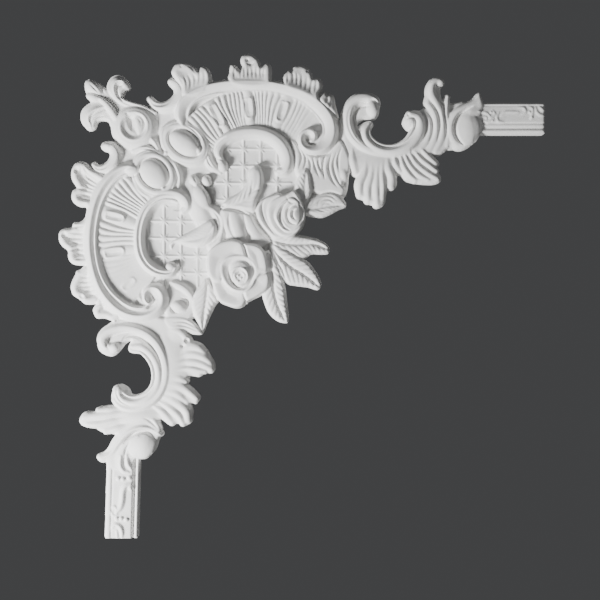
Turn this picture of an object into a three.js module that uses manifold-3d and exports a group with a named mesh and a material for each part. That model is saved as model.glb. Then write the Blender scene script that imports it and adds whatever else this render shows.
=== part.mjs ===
// Corner applique of cast white plaster, in the manner of carved rococo work.
// It joins two wall mouldings at a corner: scrolls, shells, roses and leaves in relief,
// with a short length of the moulding cast on at the end of each arm.
// Millimetres. The back is the plane y = 0, the relief rises towards -y, +z is up.
// The origin is where the centre lines of the two mouldings cross.
import * as THREE from 'three';
import { mergeVertices } from 'three/addons/utils/BufferGeometryUtils.js';
import Module from 'manifold-3d';

const wasm = await Module();
wasm.setup();

// The moulding that the two stubs continue
const mouldingWidth = 32;
const mouldingFaceWidth = 19;
const mouldingFaceHeight = 11;
const mouldingGrooveHeight = 7;
const mouldingBeadHeight = 9.5;
const mouldingEdgeHeight = 4;
const mouldingRound = 3;
const mouldingSlope = 2;
const rightStubEnd = 423.5;
const lowerStubEnd = 421;

// Heights of the relief above the back
const groundHeight = 8.5;
const webHeight = 9;
const massHeight = 10.4;
const clumpHeight = 9.8;
const fluteHeight = 12;
const fluteBed = 9.5;
const trellisBarHeight = 9.6;
const edgeLobeHeight = 13;
const foliageHeight = 14;
const scrollHeight = 17;
const innerRimHeight = 18;
const outerRimHeight = 20;
const jewelHeight = 21;
const ballHeight = 20;
const bladeHeight = 20;
const petalHeight = 24;
const budHeight = 27;

// Sizes of what repeats
const trellisPitch = 17;
const trellisBarWidth = 2;
const flutePitch = 13;
const fluteWidth = 7;
const loopWidth = 12;
const loopWire = 1.7;
const loopHeight = 15;

// A scroll's low ends are this much below its crest
const lowEnd = 3;

// A band's softened tip, as shares of its last slice
const tipReach = 0.75;
const tipWidth = 0.5;
const tipHeight = 0.78;

// Every solid starts this far behind the back and is cut off at it
const backAllowance = 2;
const cutReach = 1000;

// Routes are written on a layout sheet, in millimetres to the right and down,
// and this is the sheet's point over the origin.
const sheetCorner = { right: 122, down: 118 };

// Turning and spacing that a route may reach between two of its slices
const turnStep = THREE.MathUtils.degToRad(42);
const longestStep = 40;
const samplesPerSpan = 6;

// Cross-sections: share of the half width, share of the height
const roundProfile = [[-1, 0.45], [-0.5, 0.95], [0.5, 0.95], [1, 0.45]];
const ribProfile = [[-1, 0.6], [0, 1], [1, 0.6]];
const rimProfile = [[-1, 0.45], [-0.62, 1], [0, 0.72], [0.5, 0.86], [1, 0.42]];
const channelProfile = [[-1, 0.42], [-0.68, 1], [0, 0.66], [0.68, 1], [1, 0.42]];
const leafProfile = [[-1, 0.5], [-0.5, 1], [0, 0.78], [0.5, 1], [1, 0.5]];

// Turns a closed three.js geometry into a solid that can be joined and cut
function solid(geometry) {
  const bare = geometry.clone();
  bare.deleteAttribute('normal');
  bare.deleteAttribute('uv');
  const merged = mergeVertices(bare, 1e-4);
  const mesh = new wasm.Mesh({
    numProp: 3,
    vertProperties: new Float32Array(merged.attributes.position.array),
    triVerts: new Uint32Array(merged.index.array),
  });
  return new wasm.Manifold(mesh);
}

// Closed skin over a row of rings that all have the same number of points
function skin(rings) {
  const count = rings[0].length;
  const triangles = [];
  for (let i = 0; i < rings.length - 1; i += 1) {
    for (let j = 0; j < count; j += 1) {
      const k = (j + 1) % count;
      const [a, b, c, d] = [rings[i][j], rings[i][k], rings[i + 1][k], rings[i + 1][j]];
      triangles.push(a, b, c, a, c, d);
    }
  }
  const first = rings[0];
  const last = rings[rings.length - 1];
  for (let j = 1; j < count - 1; j += 1) {
    triangles.push(first[0], first[j + 1], first[j]);
    triangles.push(last[0], last[j], last[j + 1]);
  }
  const geometry = new THREE.BufferGeometry().setFromPoints(triangles);
  return solid(geometry);
}

// Point of the part over a point of the sheet, at a height above the back
function place(right, down, height) {
  return new THREE.Vector3(right - sheetCorner.right, -height, sheetCorner.down - down);
}

// Value at a share of the way along a list of values spread evenly
function spread(values, share) {
  if (!Array.isArray(values)) return values;
  const at = share * (values.length - 1);
  const index = Math.min(Math.floor(at), values.length - 2);
  return THREE.MathUtils.lerp(values[index], values[index + 1], at - index);
}

// Heights along a scroll: low where it springs, or low at both its ends
function springing(height) {
  return [height - lowEnd, height, height, height, height];
}

function arching(height) {
  return [height - lowEnd, height, height, height, height - lowEnd];
}

// Slices of a smooth route through [right, down, half width] points
function stations(points, heights) {
  const spots = points.map(([right, down]) => new THREE.Vector3(right, down, 0));
  const curve = new THREE.CatmullRomCurve3(spots);
  const widths = points.map(([, , width]) => width);
  const total = (points.length - 1) * samplesPerSpan;
  const kept = [];
  let turned = 0;
  let walked = 0;
  let before = curve.getTangent(0);
  let spot = curve.getPoint(0);
  for (let i = 0; i <= total; i += 1) {
    const share = i / total;
    const next = curve.getPoint(share);
    const tangent = curve.getTangent(share);
    turned += tangent.angleTo(before);
    walked += next.distanceTo(spot);
    before = tangent;
    spot = next;
    if (i === 0 || i === total || turned > turnStep || walked > longestStep) {
      kept.push({ spot: next, tangent, width: spread(widths, share), height: spread(heights, share) });
      turned = 0;
      walked = 0;
    }
  }
  return kept;
}

// Raised band along a route, with a softened tip at each end that shows
function band(points, heights, profile = roundProfile, tips = 'both') {
  const row = stations(points, heights);
  const first = row[0];
  const last = row[row.length - 1];
  const tip = (station, way) => ({
    spot: station.spot.clone().addScaledVector(station.tangent, way * station.width * tipReach),
    tangent: station.tangent,
    width: station.width * tipWidth,
    height: station.height * tipHeight,
  });
  const slices = [...row];
  if (tips === 'both' || tips === 'first') slices.unshift(tip(first, -1));
  if (tips === 'both' || tips === 'last') slices.push(tip(last, 1));
  const rings = slices.map(({ spot, tangent, width, height }) => {
    const side = new THREE.Vector3(-tangent.y, tangent.x, 0);
    const at = (share, rise) => place(
      spot.x + side.x * share * width,
      spot.y + side.y * share * width,
      rise,
    );
    const face = profile.map(([share, rise]) => at(share, rise * height));
    return [at(-1, -backAllowance), ...face, at(1, -backAllowance)];
  });
  return skin(rings);
}

// Oval mound; rise is the share of its height that its edge has. A small one has a flat top.
function dome(right, down, halfLength, halfWidth, turn, height, rise = 0.5, sides = 9) {
  const angle = THREE.MathUtils.degToRad(turn);
  const crown = sides < 10 ? [[0.5, 1]] : [[0.66, rise + (1 - rise) * 0.8], [0.2, 1]];
  const levels = [[1, -backAllowance / height], [1, rise], ...crown];
  const rings = levels.map(([share, level]) => {
    const ring = [];
    for (let i = 0; i < sides; i += 1) {
      const around = -(i / sides) * Math.PI * 2;
      const along = Math.cos(around) * halfLength * share;
      const across = Math.sin(around) * halfWidth * share;
      ring.push(place(
        right + along * Math.cos(angle) - across * Math.sin(angle),
        down + along * Math.sin(angle) + across * Math.cos(angle),
        level * height,
      ));
    }
    return ring;
  });
  return skin(rings);
}

// Oval hoop around a centre, with a top that leans inwards
function hoop(right, down, halfLength, halfWidth, turn, width, height, sides = 6) {
  const section = [
    new THREE.Vector2(1 - width / halfWidth, -backAllowance),
    new THREE.Vector2(1 + width / halfWidth, -backAllowance),
    new THREE.Vector2(1 + width * 0.4 / halfWidth, height),
    new THREE.Vector2(1 - width * 0.6 / halfWidth, height),
    new THREE.Vector2(1 - width / halfWidth, -backAllowance),
  ];
  const geometry = new THREE.LatheGeometry(section, sides);
  geometry.scale(halfLength, 1, halfWidth);
  geometry.rotateX(Math.PI);
  geometry.rotateY(THREE.MathUtils.degToRad(turn));
  const centre = place(right, down, 0);
  geometry.translate(centre.x, centre.y, centre.z);
  return solid(geometry);
}

// Flat ground inside a closed outline of [right, down] points
function plate(outline, height) {
  const corners = outline.map(([right, down]) => (
    new THREE.Vector2(right - sheetCorner.right, sheetCorner.down - down)
  ));
  const shape = new THREE.Shape(corners);
  const geometry = new THREE.ExtrudeGeometry(shape, { depth: height + backAllowance, bevelEnabled: false });
  geometry.rotateX(Math.PI / 2);
  geometry.translate(0, backAllowance, 0);
  return solid(geometry);
}

// Box between two corners of the part
function block(low, high) {
  const geometry = new THREE.BoxGeometry(high.x - low.x, high.y - low.y, high.z - low.z);
  geometry.translate((low.x + high.x) / 2, (low.y + high.y) / 2, (low.z + high.z) / 2);
  return solid(geometry);
}

// Ground of the shells and the trellis, and the masses that the two arms are carved from
function ground() {
  return [
    plate([[118, 112], [150, 108], [178, 100], [190, 84], [212, 79], [250, 77], [286, 79], [312, 84],
      [326, 94], [334, 106], [346, 140], [350, 176], [344, 198], [318, 214], [300, 240], [262, 290],
      [212, 308], [170, 316], [120, 314], [98, 298], [86, 276], [82, 244], [84, 220], [92, 196],
      [106, 176], [114, 140]], groundHeight),
    plate([[336, 116], [342, 110], [349, 98], [363, 93], [376, 99], [379.5, 108], [374, 118],
      [363, 119.5], [357.5, 126], [366, 121.5], [373.5, 125], [370.5, 136], [380, 146.5], [393, 148],
      [406, 143.5], [412, 136], [404.5, 126.5], [404, 118], [413, 110], [426, 106.5], [427, 88],
      [435, 78], [444, 80.5], [441.5, 98], [448, 94], [450.5, 108], [465, 102.5], [479, 93], [483.5, 118],
      [475, 142], [456, 150], [437, 156.5], [439.8, 164.6], [441, 181], [423, 184], [400, 175],
      [395.6, 188], [386, 190.5], [379, 208], [357, 197.6], [359.5, 178], [347, 162], [338, 142]],
      massHeight),
    plate([[118, 308], [112.5, 321], [101, 331], [97, 342], [99, 350.5], [108, 356], [121, 349],
      [130.4, 341], [129.5, 352], [142, 354.5], [153, 363], [156, 374], [151, 390], [135, 398],
      [127, 387.5], [116, 387], [111, 396], [112.5, 407], [96.4, 408], [82, 414], [80.5, 424.5],
      [99, 431], [118, 436], [110, 450], [97.5, 454.5], [106, 466], [140, 462], [156, 449], [162, 432.4],
      [151.6, 421], [171, 426], [186, 426], [193, 411], [199.5, 399], [184.4, 388.5], [190, 376.4],
      [213, 373], [211, 357], [200, 343], [190, 335], [176, 322], [164, 308]], massHeight),
  ];
}

// Flutes of one shell, fanned about a centre between two angles from the vertical or level
function flutes(centre, near, far, from, to) {
  const step = THREE.MathUtils.radToDeg(flutePitch / ((near + far) / 2));
  const count = Math.round((to - from) / step);
  const parts = [];
  for (let i = 0; i <= count; i += 1) {
    const angle = THREE.MathUtils.degToRad(THREE.MathUtils.lerp(from, to, i / count));
    const way = { right: Math.cos(angle), down: Math.sin(angle) };
    parts.push(band([
      [centre.right + way.right * near, centre.down + way.down * near, fluteWidth * 0.35],
      [centre.right + way.right * far, centre.down + way.down * far, fluteWidth * 0.5],
    ], [fluteHeight - 1, fluteHeight + 1], ribProfile, 'none'));
  }
  return parts;
}

// Raised bars of the trellis over a rectangle of the sheet
function trellis(left, top, right, bottom) {
  const half = trellisBarWidth / 2;
  const bar = (fromRight, fromDown, toRight, toDown) => block(
    place(fromRight - half, toDown + half, trellisBarHeight),
    place(toRight + half, fromDown - half, -backAllowance),
  );
  const bars = [];
  for (let at = left; at <= right; at += trellisPitch) bars.push(bar(at, top, at, bottom));
  for (let at = top; at <= bottom; at += trellisPitch) bars.push(bar(left, at, right, at));
  return bars;
}

// Rims, inner scrolls and hanging loops of the two shells
function shells() {
  const loops = [[249, 107, 90, 13], [282.5, 112, 110, 11], [217, 116, 57, 11], [116, 218, 12, 11],
    [115, 252, -2, 11], [129, 283, -44, 10]];
  return [
    plate([[186, 126], [190, 108], [210, 94], [250, 88], [290, 94], [316, 110], [322, 132], [292, 142],
      [262, 126], [230, 130], [212, 146]], fluteBed),
    plate([[126, 180], [144, 190], [146, 208], [136, 230], [140, 262], [154, 282], [150, 304], [124, 302],
      [104, 276], [98, 240], [104, 204]], fluteBed),
    ...flutes({ right: 257, down: 184 }, 58, 96, -144, -46),
    ...flutes({ right: 187, down: 242 }, 52, 89, 138, 232),
    band([[183, 124, 4.5], [182, 112, 5], [187, 101, 5.2], [200, 92, 5.2], [222, 86, 5.2],
      [250, 84.5, 5.4], [278, 87.5, 5.6], [304, 97, 5.8], [322, 110, 5.8], [328.5, 124, 5.8],
      [326, 140, 5.6], [316, 149, 5]],
      springing(outerRimHeight), rimProfile),
    band([[338, 122, 4], [338, 136, 4.5], [328, 150, 4.5], [312, 153, 4.2], [299, 146, 4],
      [298, 134, 3.6], [308, 130, 3.2], [317, 135, 2.6], [314, 142, 2.4]], springing(outerRimHeight)),
    band([[213, 160, 6], [218, 146, 6], [231, 134, 6.2], [249, 130, 6.4], [267, 134, 6.4], [281, 146, 6],
      [286, 162, 5.5], [279, 172, 5]], arching(innerRimHeight), rimProfile),
    dome(222, 164, 6.5, 6.5, 0, scrollHeight, 0.5, 8),
    band([[131, 168, 4], [114, 178, 4.6], [103, 196, 5.2], [96, 218, 5.6], [94, 240, 5.8], [97, 264, 5.8],
      [107, 288, 5.8], [122, 305, 5.8], [142, 311, 5.4], [157, 302, 4.6], [153, 290, 3.4]],
      springing(outerRimHeight), rimProfile),
    band([[150, 318, 3.5], [162, 310, 4], [166, 298, 4], [160, 286, 3]], arching(outerRimHeight - 1)),
    band([[180, 200, 5], [166, 197, 5.6], [149, 207, 6.2], [139, 226, 6.6], [139.5, 252, 6.6],
      [150, 270, 6], [167, 274, 5.2], [176, 265, 4.4]], arching(innerRimHeight), rimProfile),
    ...loops.map(([right, down, turn, halfLength]) => (
      hoop(right, down, halfLength, loopWidth / 2 - 1, turn, loopWire, loopHeight)
    )),
  ];
}

// Finial, short hooks, ring boss and jewels at the outer corner
function corner() {
  return [
    plate([[84.5, 84], [91, 80], [98, 82], [105, 87], [112, 97], [122, 102], [134, 104], [150, 106],
      [160, 108], [150, 130], [124, 142], [112, 141], [112, 132], [106, 121], [97, 123], [88, 129],
      [81, 117], [84, 107], [91, 103], [87, 95]],
      webHeight),
    dome(94, 88, 10, 8, 40, foliageHeight, 0.6),
    band([[96, 95, 5], [107, 106, 6], [118, 121, 7]], foliageHeight, channelProfile),
    band([[120, 84, 8], [116, 93, 6], [122, 103, 6], [138, 110, 6], [152, 114, 5]],
      foliageHeight + 1, channelProfile),
    band([[106, 105, 5], [93, 108, 5.5], [86, 117, 5], [90, 126, 4]],
      arching(foliageHeight), channelProfile),
    dome(134.5, 127, 22, 22, 0, foliageHeight, 0.6, 8),
    hoop(134.5, 126, 12.5, 12.5, 0, 2.8, scrollHeight, 12),
    dome(140, 125, 4.5, 6, 20, foliageHeight + 1.5, 0.6, 8),
    band([[171, 84, 4.5], [179, 93, 5], [171, 104, 5], [150, 100, 4]], arching(scrollHeight - 1)),
    band([[106, 147, 4.5], [115, 154, 5], [109, 167, 5], [94, 165, 4]], arching(scrollHeight - 1)),
    dome(185, 143.5, 18, 11.5, 35, jewelHeight, 0.6, 12),
    band([[170, 123, 2.6], [166, 138, 2.6], [178, 152, 2.6], [203, 151, 2.6]], scrollHeight),
    dome(154.5, 174, 17, 13, 50, jewelHeight, 0.6, 12),
    band([[137, 162, 2.8], [155, 159, 2.8], [168, 171, 2.8], [171, 187, 2.8]], scrollHeight),
    band([[138, 182, 2.4], [152, 192, 2.4], [168, 188, 2.4]], scrollHeight - 1),
  ];
}

// Ruffled clumps outside the two shells, as plates that carry curled lobes running in to the rim
function edgeClumps() {
  const clumps = [
    [[175, 80], [171.5, 72.5], [176, 64.5], [187, 63], [198.5, 70.5], [206, 67], [211, 73], [212, 82],
      [206, 94], [188, 100]],
    [[227.5, 80], [231, 65.5], [240, 69], [242, 57], [249, 53.8], [258, 58.5], [262, 66.5],
      [268, 63.5], [272, 77], [268, 88], [232, 88]],
    [[283, 78], [289, 71], [294, 67.5], [302, 65], [310, 70], [314, 78], [320, 79], [322.5, 88],
      [320, 104], [300, 97], [284, 90]],
    [[321, 94], [327.5, 94.6], [333, 95.5], [336.5, 111], [336, 120], [328, 116]],
    [[90, 167], [83, 161.5], [75, 164], [71, 175], [76, 188], [71.5, 197], [79, 206.5], [94, 208],
      [106, 188], [104, 172]],
    [[86, 217], [74, 222.5], [60, 231], [58.5, 239], [68, 251], [70, 261.5], [84, 265.4], [95, 262],
      [95, 220]],
    [[85, 265.5], [76, 272], [71, 287], [78, 298.5], [95, 304], [94, 314], [98, 318.6], [116, 321],
      [120, 310], [97, 276]],
  ];
  // Each lobe: right, down, radius, and the way in from it
  const lobes = [
    [182, 73, 8, 8, 18], [204, 76, 6, 0, 12], [235, 73, 4, 2, 10], [251, 64, 8, 0, 20],
    [266, 72, 5, -2, 12], [302, 75, 8, -6, 14], [317, 87, 5, -6, 10], [330, 102, 5, -6, 8],
    [82, 172, 8, 20, 14], [81, 197, 7, 14, 2], [68, 238, 8, 20, 0], [77, 257, 7, 14, 0],
    [80, 284, 7, 18, -4], [103, 311, 6, 10, -6],
  ];
  return [
    ...clumps.map((outline) => plate(outline, clumpHeight)),
    ...lobes.map(([right, down, radius, inRight, inDown]) => {
      const route = [[right, down, radius], [right + inRight, down + inDown, radius * 0.8]];
      return band(route, edgeLobeHeight, roundProfile, 'first');
    }),
  ];
}

// Leaf along a route, wide in the middle and pointed at the tip
function leaf(points, width, height) {
  const shares = [0.6, 1, 0.85, 0.3];
  const widthAt = (i) => width * spread(shares, i / (points.length - 1));
  const rows = points.map(([right, down], i) => [right, down, widthAt(i)]);
  return band(rows, [height * 0.9, height, height * 0.6], leafProfile, 'last');
}

// Leaves around the roses and the folds below the top shell
function foliage() {
  return [
    leaf([[266, 262], [271, 280], [275, 302], [283, 321]], 12, bladeHeight),
    leaf([[272, 247], [290, 262], [304, 274], [318, 286]], 13, bladeHeight),
    leaf([[273, 243], [292, 244], [310, 245], [328, 251]], 11, bladeHeight),
    leaf([[308, 213], [322, 206], [334, 203], [346, 206]], 11, bladeHeight - 3),
    leaf([[300, 198], [306, 188], [308, 178], [305, 168]], 8, bladeHeight - 3),
    leaf([[210, 281], [208, 298], [204, 315], [200, 333]], 13, foliageHeight + 1),
    leaf([[226, 212], [240, 200], [252, 188], [256, 170]], 16, bladeHeight),
    leaf([[212, 214], [208, 230], [194, 240], [170, 250]], 10, scrollHeight),
    band([[197, 182, 7], [204, 198, 8], [212, 216, 7]], arching(scrollHeight)),
    dome(204, 181, 9, 7, 20, foliageHeight + 1, 0.6, 8),
    band([[322, 158, 5], [318, 174, 6], [325, 192, 5]], foliageHeight + 1),
    band([[333, 156, 5], [330, 170, 6], [334, 188, 5]], foliageHeight + 1),
    band([[343, 154, 5], [345, 172, 6], [342, 190, 5]], foliageHeight + 1),
    dome(177, 307, 7.5, 7.5, 0, scrollHeight, 0.5, 8),
    band([[170, 284, 5], [182, 290, 6], [193, 298, 5]], foliageHeight),
    band([[172, 322, 6], [186, 327, 6], [198, 333, 4]], foliageHeight - 2),
    dome(180, 338, 10, 9, 0, foliageHeight, 0.5, 8),
  ];
}

// Shares of a rose's size: the bed, the ring that its petals stand on, a petal, the cup and the bud
const roseBed = { size: 0.95, height: 0.72 };
const petalRing = 0.68;
const petal = { length: 0.4, width: 0.34, low: 0.92 };
const cup = { size: 0.42, wall: 2.6 };
const budSize = 0.25;

// Open rose: a ring of petals about a hollow, and the bud in it
function rose(right, down, halfLength, halfWidth, turn, petalCount) {
  const angle = THREE.MathUtils.degToRad(turn);
  const bedLength = halfLength * roseBed.size;
  const bedWidth = halfWidth * roseBed.size;
  const parts = [dome(right, down, bedLength, bedWidth, turn, petalHeight * roseBed.height, 0.8, 12)];
  for (let i = 0; i < petalCount; i += 1) {
    const around = (i / petalCount) * Math.PI * 2;
    const along = Math.cos(around) * halfLength * petalRing;
    const across = Math.sin(around) * halfWidth * petalRing;
    const lift = i % 2 === 0 ? 1 : petal.low;
    parts.push(dome(
      right + along * Math.cos(angle) - across * Math.sin(angle),
      down + along * Math.sin(angle) + across * Math.cos(angle),
      halfLength * petal.length,
      halfWidth * petal.width,
      turn + 90 + THREE.MathUtils.radToDeg(around),
      petalHeight * lift,
      0.75,
      8,
    ));
  }
  const cupLength = halfLength * cup.size;
  const cupWidth = halfWidth * cup.size;
  parts.push(hoop(right, down, cupLength, cupWidth, turn, cup.wall, budHeight - 1, 9));
  parts.push(dome(right, down, halfLength * budSize, halfWidth * budSize, turn, budHeight, 0.8, 8));
  return parts;
}

// Foliage of one arm, as rows of tapered ribs
function ribs(rows, height) {
  return rows.map(([right, down, midRight, midDown, endRight, endDown, width]) => {
    const route = [[right, down, width * 0.8], [midRight, midDown, width],
      [endRight, endDown, width * 0.6]];
    return band(route, [height, height, height - 2], ribProfile, 'last');
  });
}

// Scrolls, crescent, leaves and ball of the right arm
function rightArm() {
  return [
    band([[376, 107, 5.5], [367, 98, 6], [353, 103, 6], [348.5, 120, 5.5], [353, 138, 5], [366, 149, 4.6],
      [386, 154, 4.6], [412, 149, 3.5]], arching(scrollHeight)),
    dome(373, 110, 6.5, 7, 0, scrollHeight + 1, 0.5, 8),
    band([[366, 127, 4.5], [364, 139, 5.5], [376, 150, 6], [395, 151, 6], [412, 142, 6], [417, 130, 6.5],
      [413, 119, 8]],
      arching(scrollHeight)),
    dome(412, 120, 9, 9, 0, scrollHeight + 1, 0.55, 8),
    band([[437, 83, 5], [434, 96, 8], [440, 114, 8], [440, 138, 8], [434, 153, 5]],
      arching(foliageHeight + 1), channelProfile),
    band([[448, 98, 3.5], [446, 108, 4], [446, 122, 4]], foliageHeight - 2),
    band([[427, 97, 3], [432, 110, 5], [432, 130, 6], [424, 146, 5]], arching(foliageHeight)),
    ...ribs([[350, 150, 354, 164, 361, 174, 6], [362, 158, 360, 176, 362, 195, 7.5],
      [374, 158, 371, 180, 380, 203, 8], [386, 158, 385, 174, 390, 186, 7],
      [396, 156, 402, 168, 406, 178, 7], [406, 154, 418, 170, 435, 179, 7],
      [414, 150, 426, 164, 436, 168, 6], [424, 146, 432, 156, 440, 153, 5]], foliageHeight),
    dome(464, 132, 14, 16, 0, ballHeight, 0.5, 12),
    band([[479, 97, 3], [468, 106, 6], [456, 116, 6.5], [451, 132, 6], [456, 146, 4]],
      arching(scrollHeight)),
    band([[479, 97, 3], [478, 110, 6], [474, 122, 8]], springing(foliageHeight + 1)),
  ];
}

// Scrolls, crescent, leaves and ball of the lower arm
function lowerArm() {
  return [
    band([[112, 348, 6], [102, 341, 6], [109, 329.5, 5.6], [133, 329, 4.8], [153, 343, 4.6],
      [164, 366, 4.6], [161, 388, 4.6], [146, 404, 4], [124, 406, 3.5]], arching(scrollHeight)),
    dome(114, 347, 7.5, 7.5, 0, scrollHeight + 1, 0.5, 8),
    band([[134, 348, 4.5], [148, 353, 5.5], [158, 370, 6], [155, 389, 6], [141, 400, 6], [127, 400, 6.5],
      [119, 392, 7]],
      arching(scrollHeight)),
    dome(120, 393, 8.5, 8, 0, scrollHeight, 0.5, 8),
    ...ribs([[174, 350, 190, 347, 202, 349, 7], [176, 362, 194, 363, 207, 366, 8],
      [174, 374, 188, 370, 200, 371, 6], [166, 390, 182, 392, 194, 398, 7],
      [160, 398, 176, 408, 187, 420, 8], [150, 408, 162, 414, 171, 422, 6],
      [118, 410, 100, 415, 84, 420, 6], [120, 418, 106, 425, 94, 431, 6],
      [124, 404, 110, 408, 99, 410, 4]], foliageHeight),
    dome(142, 443, 14, 15, 0, ballHeight, 0.5, 12),
    band([[159, 434, 4], [148, 427, 6], [130, 431, 6.5], [116, 446, 6], [102, 458, 4]],
      arching(scrollHeight)),
    band([[112, 460, 5], [120, 448, 6], [132, 440, 6]], foliageHeight - 1),
    band([[128, 408, 10], [138, 418, 11], [148, 424, 10]], foliageHeight - 2),
  ];
}

// Cross-section of the moulding, from the outer edge to the bead: across, height
function mouldingShape() {
  const edge = mouldingWidth / 2;
  const faceEnd = edge - mouldingRound - mouldingFaceWidth;
  const bead = (faceEnd - edge) / 2;
  return new THREE.Shape([
    new THREE.Vector2(edge, -backAllowance),
    new THREE.Vector2(edge, mouldingEdgeHeight),
    new THREE.Vector2(edge - mouldingRound / 2, mouldingFaceHeight - 1),
    new THREE.Vector2(edge - mouldingRound, mouldingFaceHeight),
    new THREE.Vector2(faceEnd, mouldingFaceHeight),
    new THREE.Vector2(faceEnd - mouldingSlope, mouldingGrooveHeight),
    new THREE.Vector2(bead + mouldingSlope / 2, mouldingBeadHeight),
    new THREE.Vector2(bead - mouldingSlope / 2, mouldingBeadHeight),
    new THREE.Vector2(-edge + mouldingSlope, mouldingGrooveHeight),
    new THREE.Vector2(-edge, mouldingEdgeHeight),
    new THREE.Vector2(-edge, -backAllowance),
  ]);
}

// The two lengths of moulding; the bead lies on the inner side of the corner
function stubs() {
  const shape = mouldingShape();
  const along = (length) => new THREE.ExtrudeGeometry(shape, { depth: length, bevelEnabled: false });
  // Each stub springs from under the ball of its arm
  const rightRoot = place(476, 118, 0).x;
  const lowerRoot = place(122, 456, 0).z;
  const right = along(rightStubEnd - rightRoot);
  right.applyMatrix4(new THREE.Matrix4().set(0, 0, 1, rightRoot, 0, -1, 0, 0, 1, 0, 0, 0, 0, 0, 0, 1));
  const lower = along(lowerStubEnd + lowerRoot);
  lower.applyMatrix4(new THREE.Matrix4().set(-1, 0, 0, 0, 0, -1, 0, 0, 0, 0, 1, -lowerStubEnd, 0, 0, 0, 1));
  return [solid(right), solid(lower)];
}

const trellises = [
  ...trellis(227, 149, 278, 183),
  ...trellis(147, 204, 215, 272),
];
const parts = [
  ...ground(),
  ...trellises,
  ...shells(),
  ...corner(),
  ...edgeClumps(),
  ...foliage(),
  ...rose(241, 274, 30, 32, 0, 5),
  ...rose(286, 214, 24, 20, 30, 5),
  ...rightArm(),
  ...lowerArm(),
  ...stubs(),
];
const joined = parts.reduce((whole, next) => whole.add(next));
const behindLow = new THREE.Vector3(-cutReach, 0, -cutReach);
const behindHigh = new THREE.Vector3(cutReach, cutReach, cutReach);
const applique = joined.subtract(block(behindLow, behindHigh));

// Surface of the finished solid
function surface(whole) {
  const mesh = whole.getMesh();
  const geometry = new THREE.BufferGeometry();
  geometry.setAttribute('position', new THREE.BufferAttribute(mesh.vertProperties, mesh.numProp));
  geometry.setIndex(new THREE.BufferAttribute(mesh.triVerts, 1));
  geometry.computeVertexNormals();
  return geometry;
}

const plaster = new THREE.MeshStandardMaterial({ color: 0xf1f0ec, roughness: 0.85, metalness: 0 });
const cornerApplique = new THREE.Mesh(surface(applique), plaster);
cornerApplique.name = 'corner_applique';

const group = new THREE.Group();
group.add(cornerApplique);

export default group;
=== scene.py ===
# %% [markdown]
# # A corner ornament of cast plaster
#
# The object is a corner applique: one flat-backed casting of white gypsum plaster, glued to a wall
# where two panel mouldings meet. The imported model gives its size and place, and this lesson carves
# the finer relief on it, gives it its plaster, and lights it as a studio does.

import bpy
import numpy as np
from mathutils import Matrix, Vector


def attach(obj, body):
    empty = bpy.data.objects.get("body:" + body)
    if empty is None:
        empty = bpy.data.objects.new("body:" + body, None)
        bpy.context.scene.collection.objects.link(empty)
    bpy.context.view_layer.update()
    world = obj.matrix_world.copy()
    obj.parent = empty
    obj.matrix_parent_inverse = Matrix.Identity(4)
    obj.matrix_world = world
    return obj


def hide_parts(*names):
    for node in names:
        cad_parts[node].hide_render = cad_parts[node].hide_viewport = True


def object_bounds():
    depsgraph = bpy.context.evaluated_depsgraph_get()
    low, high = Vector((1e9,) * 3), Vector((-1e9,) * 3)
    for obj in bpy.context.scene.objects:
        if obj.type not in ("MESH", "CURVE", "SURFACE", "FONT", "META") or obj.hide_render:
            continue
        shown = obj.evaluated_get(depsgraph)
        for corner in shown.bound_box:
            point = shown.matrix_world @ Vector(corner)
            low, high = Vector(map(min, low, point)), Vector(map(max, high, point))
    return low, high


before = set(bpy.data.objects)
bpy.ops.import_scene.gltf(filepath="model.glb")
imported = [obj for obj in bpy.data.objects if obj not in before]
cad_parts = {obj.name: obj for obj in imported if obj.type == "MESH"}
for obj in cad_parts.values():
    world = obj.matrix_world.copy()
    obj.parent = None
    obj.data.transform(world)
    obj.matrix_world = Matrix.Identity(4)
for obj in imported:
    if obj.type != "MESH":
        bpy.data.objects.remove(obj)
model_box = [list(map(float, corner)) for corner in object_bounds()]
print("box of the packed model in metres:", model_box)

# %% [markdown]
# ## A relief is a height over each point of the wall
#
# A one-sided casting pulls straight out of its mould, so nothing on it is undercut. Its whole front
# can be written as one height over a flat sheet. The sheet is measured in millimetres, to the right
# and down, and one of its points lies over the origin of the model.

# %% The layout sheet
MM = 0.001
SHEET_CORNER = (122.0, 118.0)
SHEET_LEFT, SHEET_RIGHT = 52.0, 554.0
SHEET_TOP, SHEET_BOTTOM = 46.0, 548.0
CELL = 0.6
print("sheet of", SHEET_RIGHT - SHEET_LEFT, "by", SHEET_BOTTOM - SHEET_TOP, "mm, cell", CELL, "mm")

# %% [markdown]
# ## Routes and cross-sections
#
# A carver works in strokes. Each stroke here has a route through a few points, with a half width at
# each, and a cross-section that says how the surface rises across it. The route is a smooth curve,
# and every point of the sheet finds how far along and how far across the nearest stroke it lies.

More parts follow.
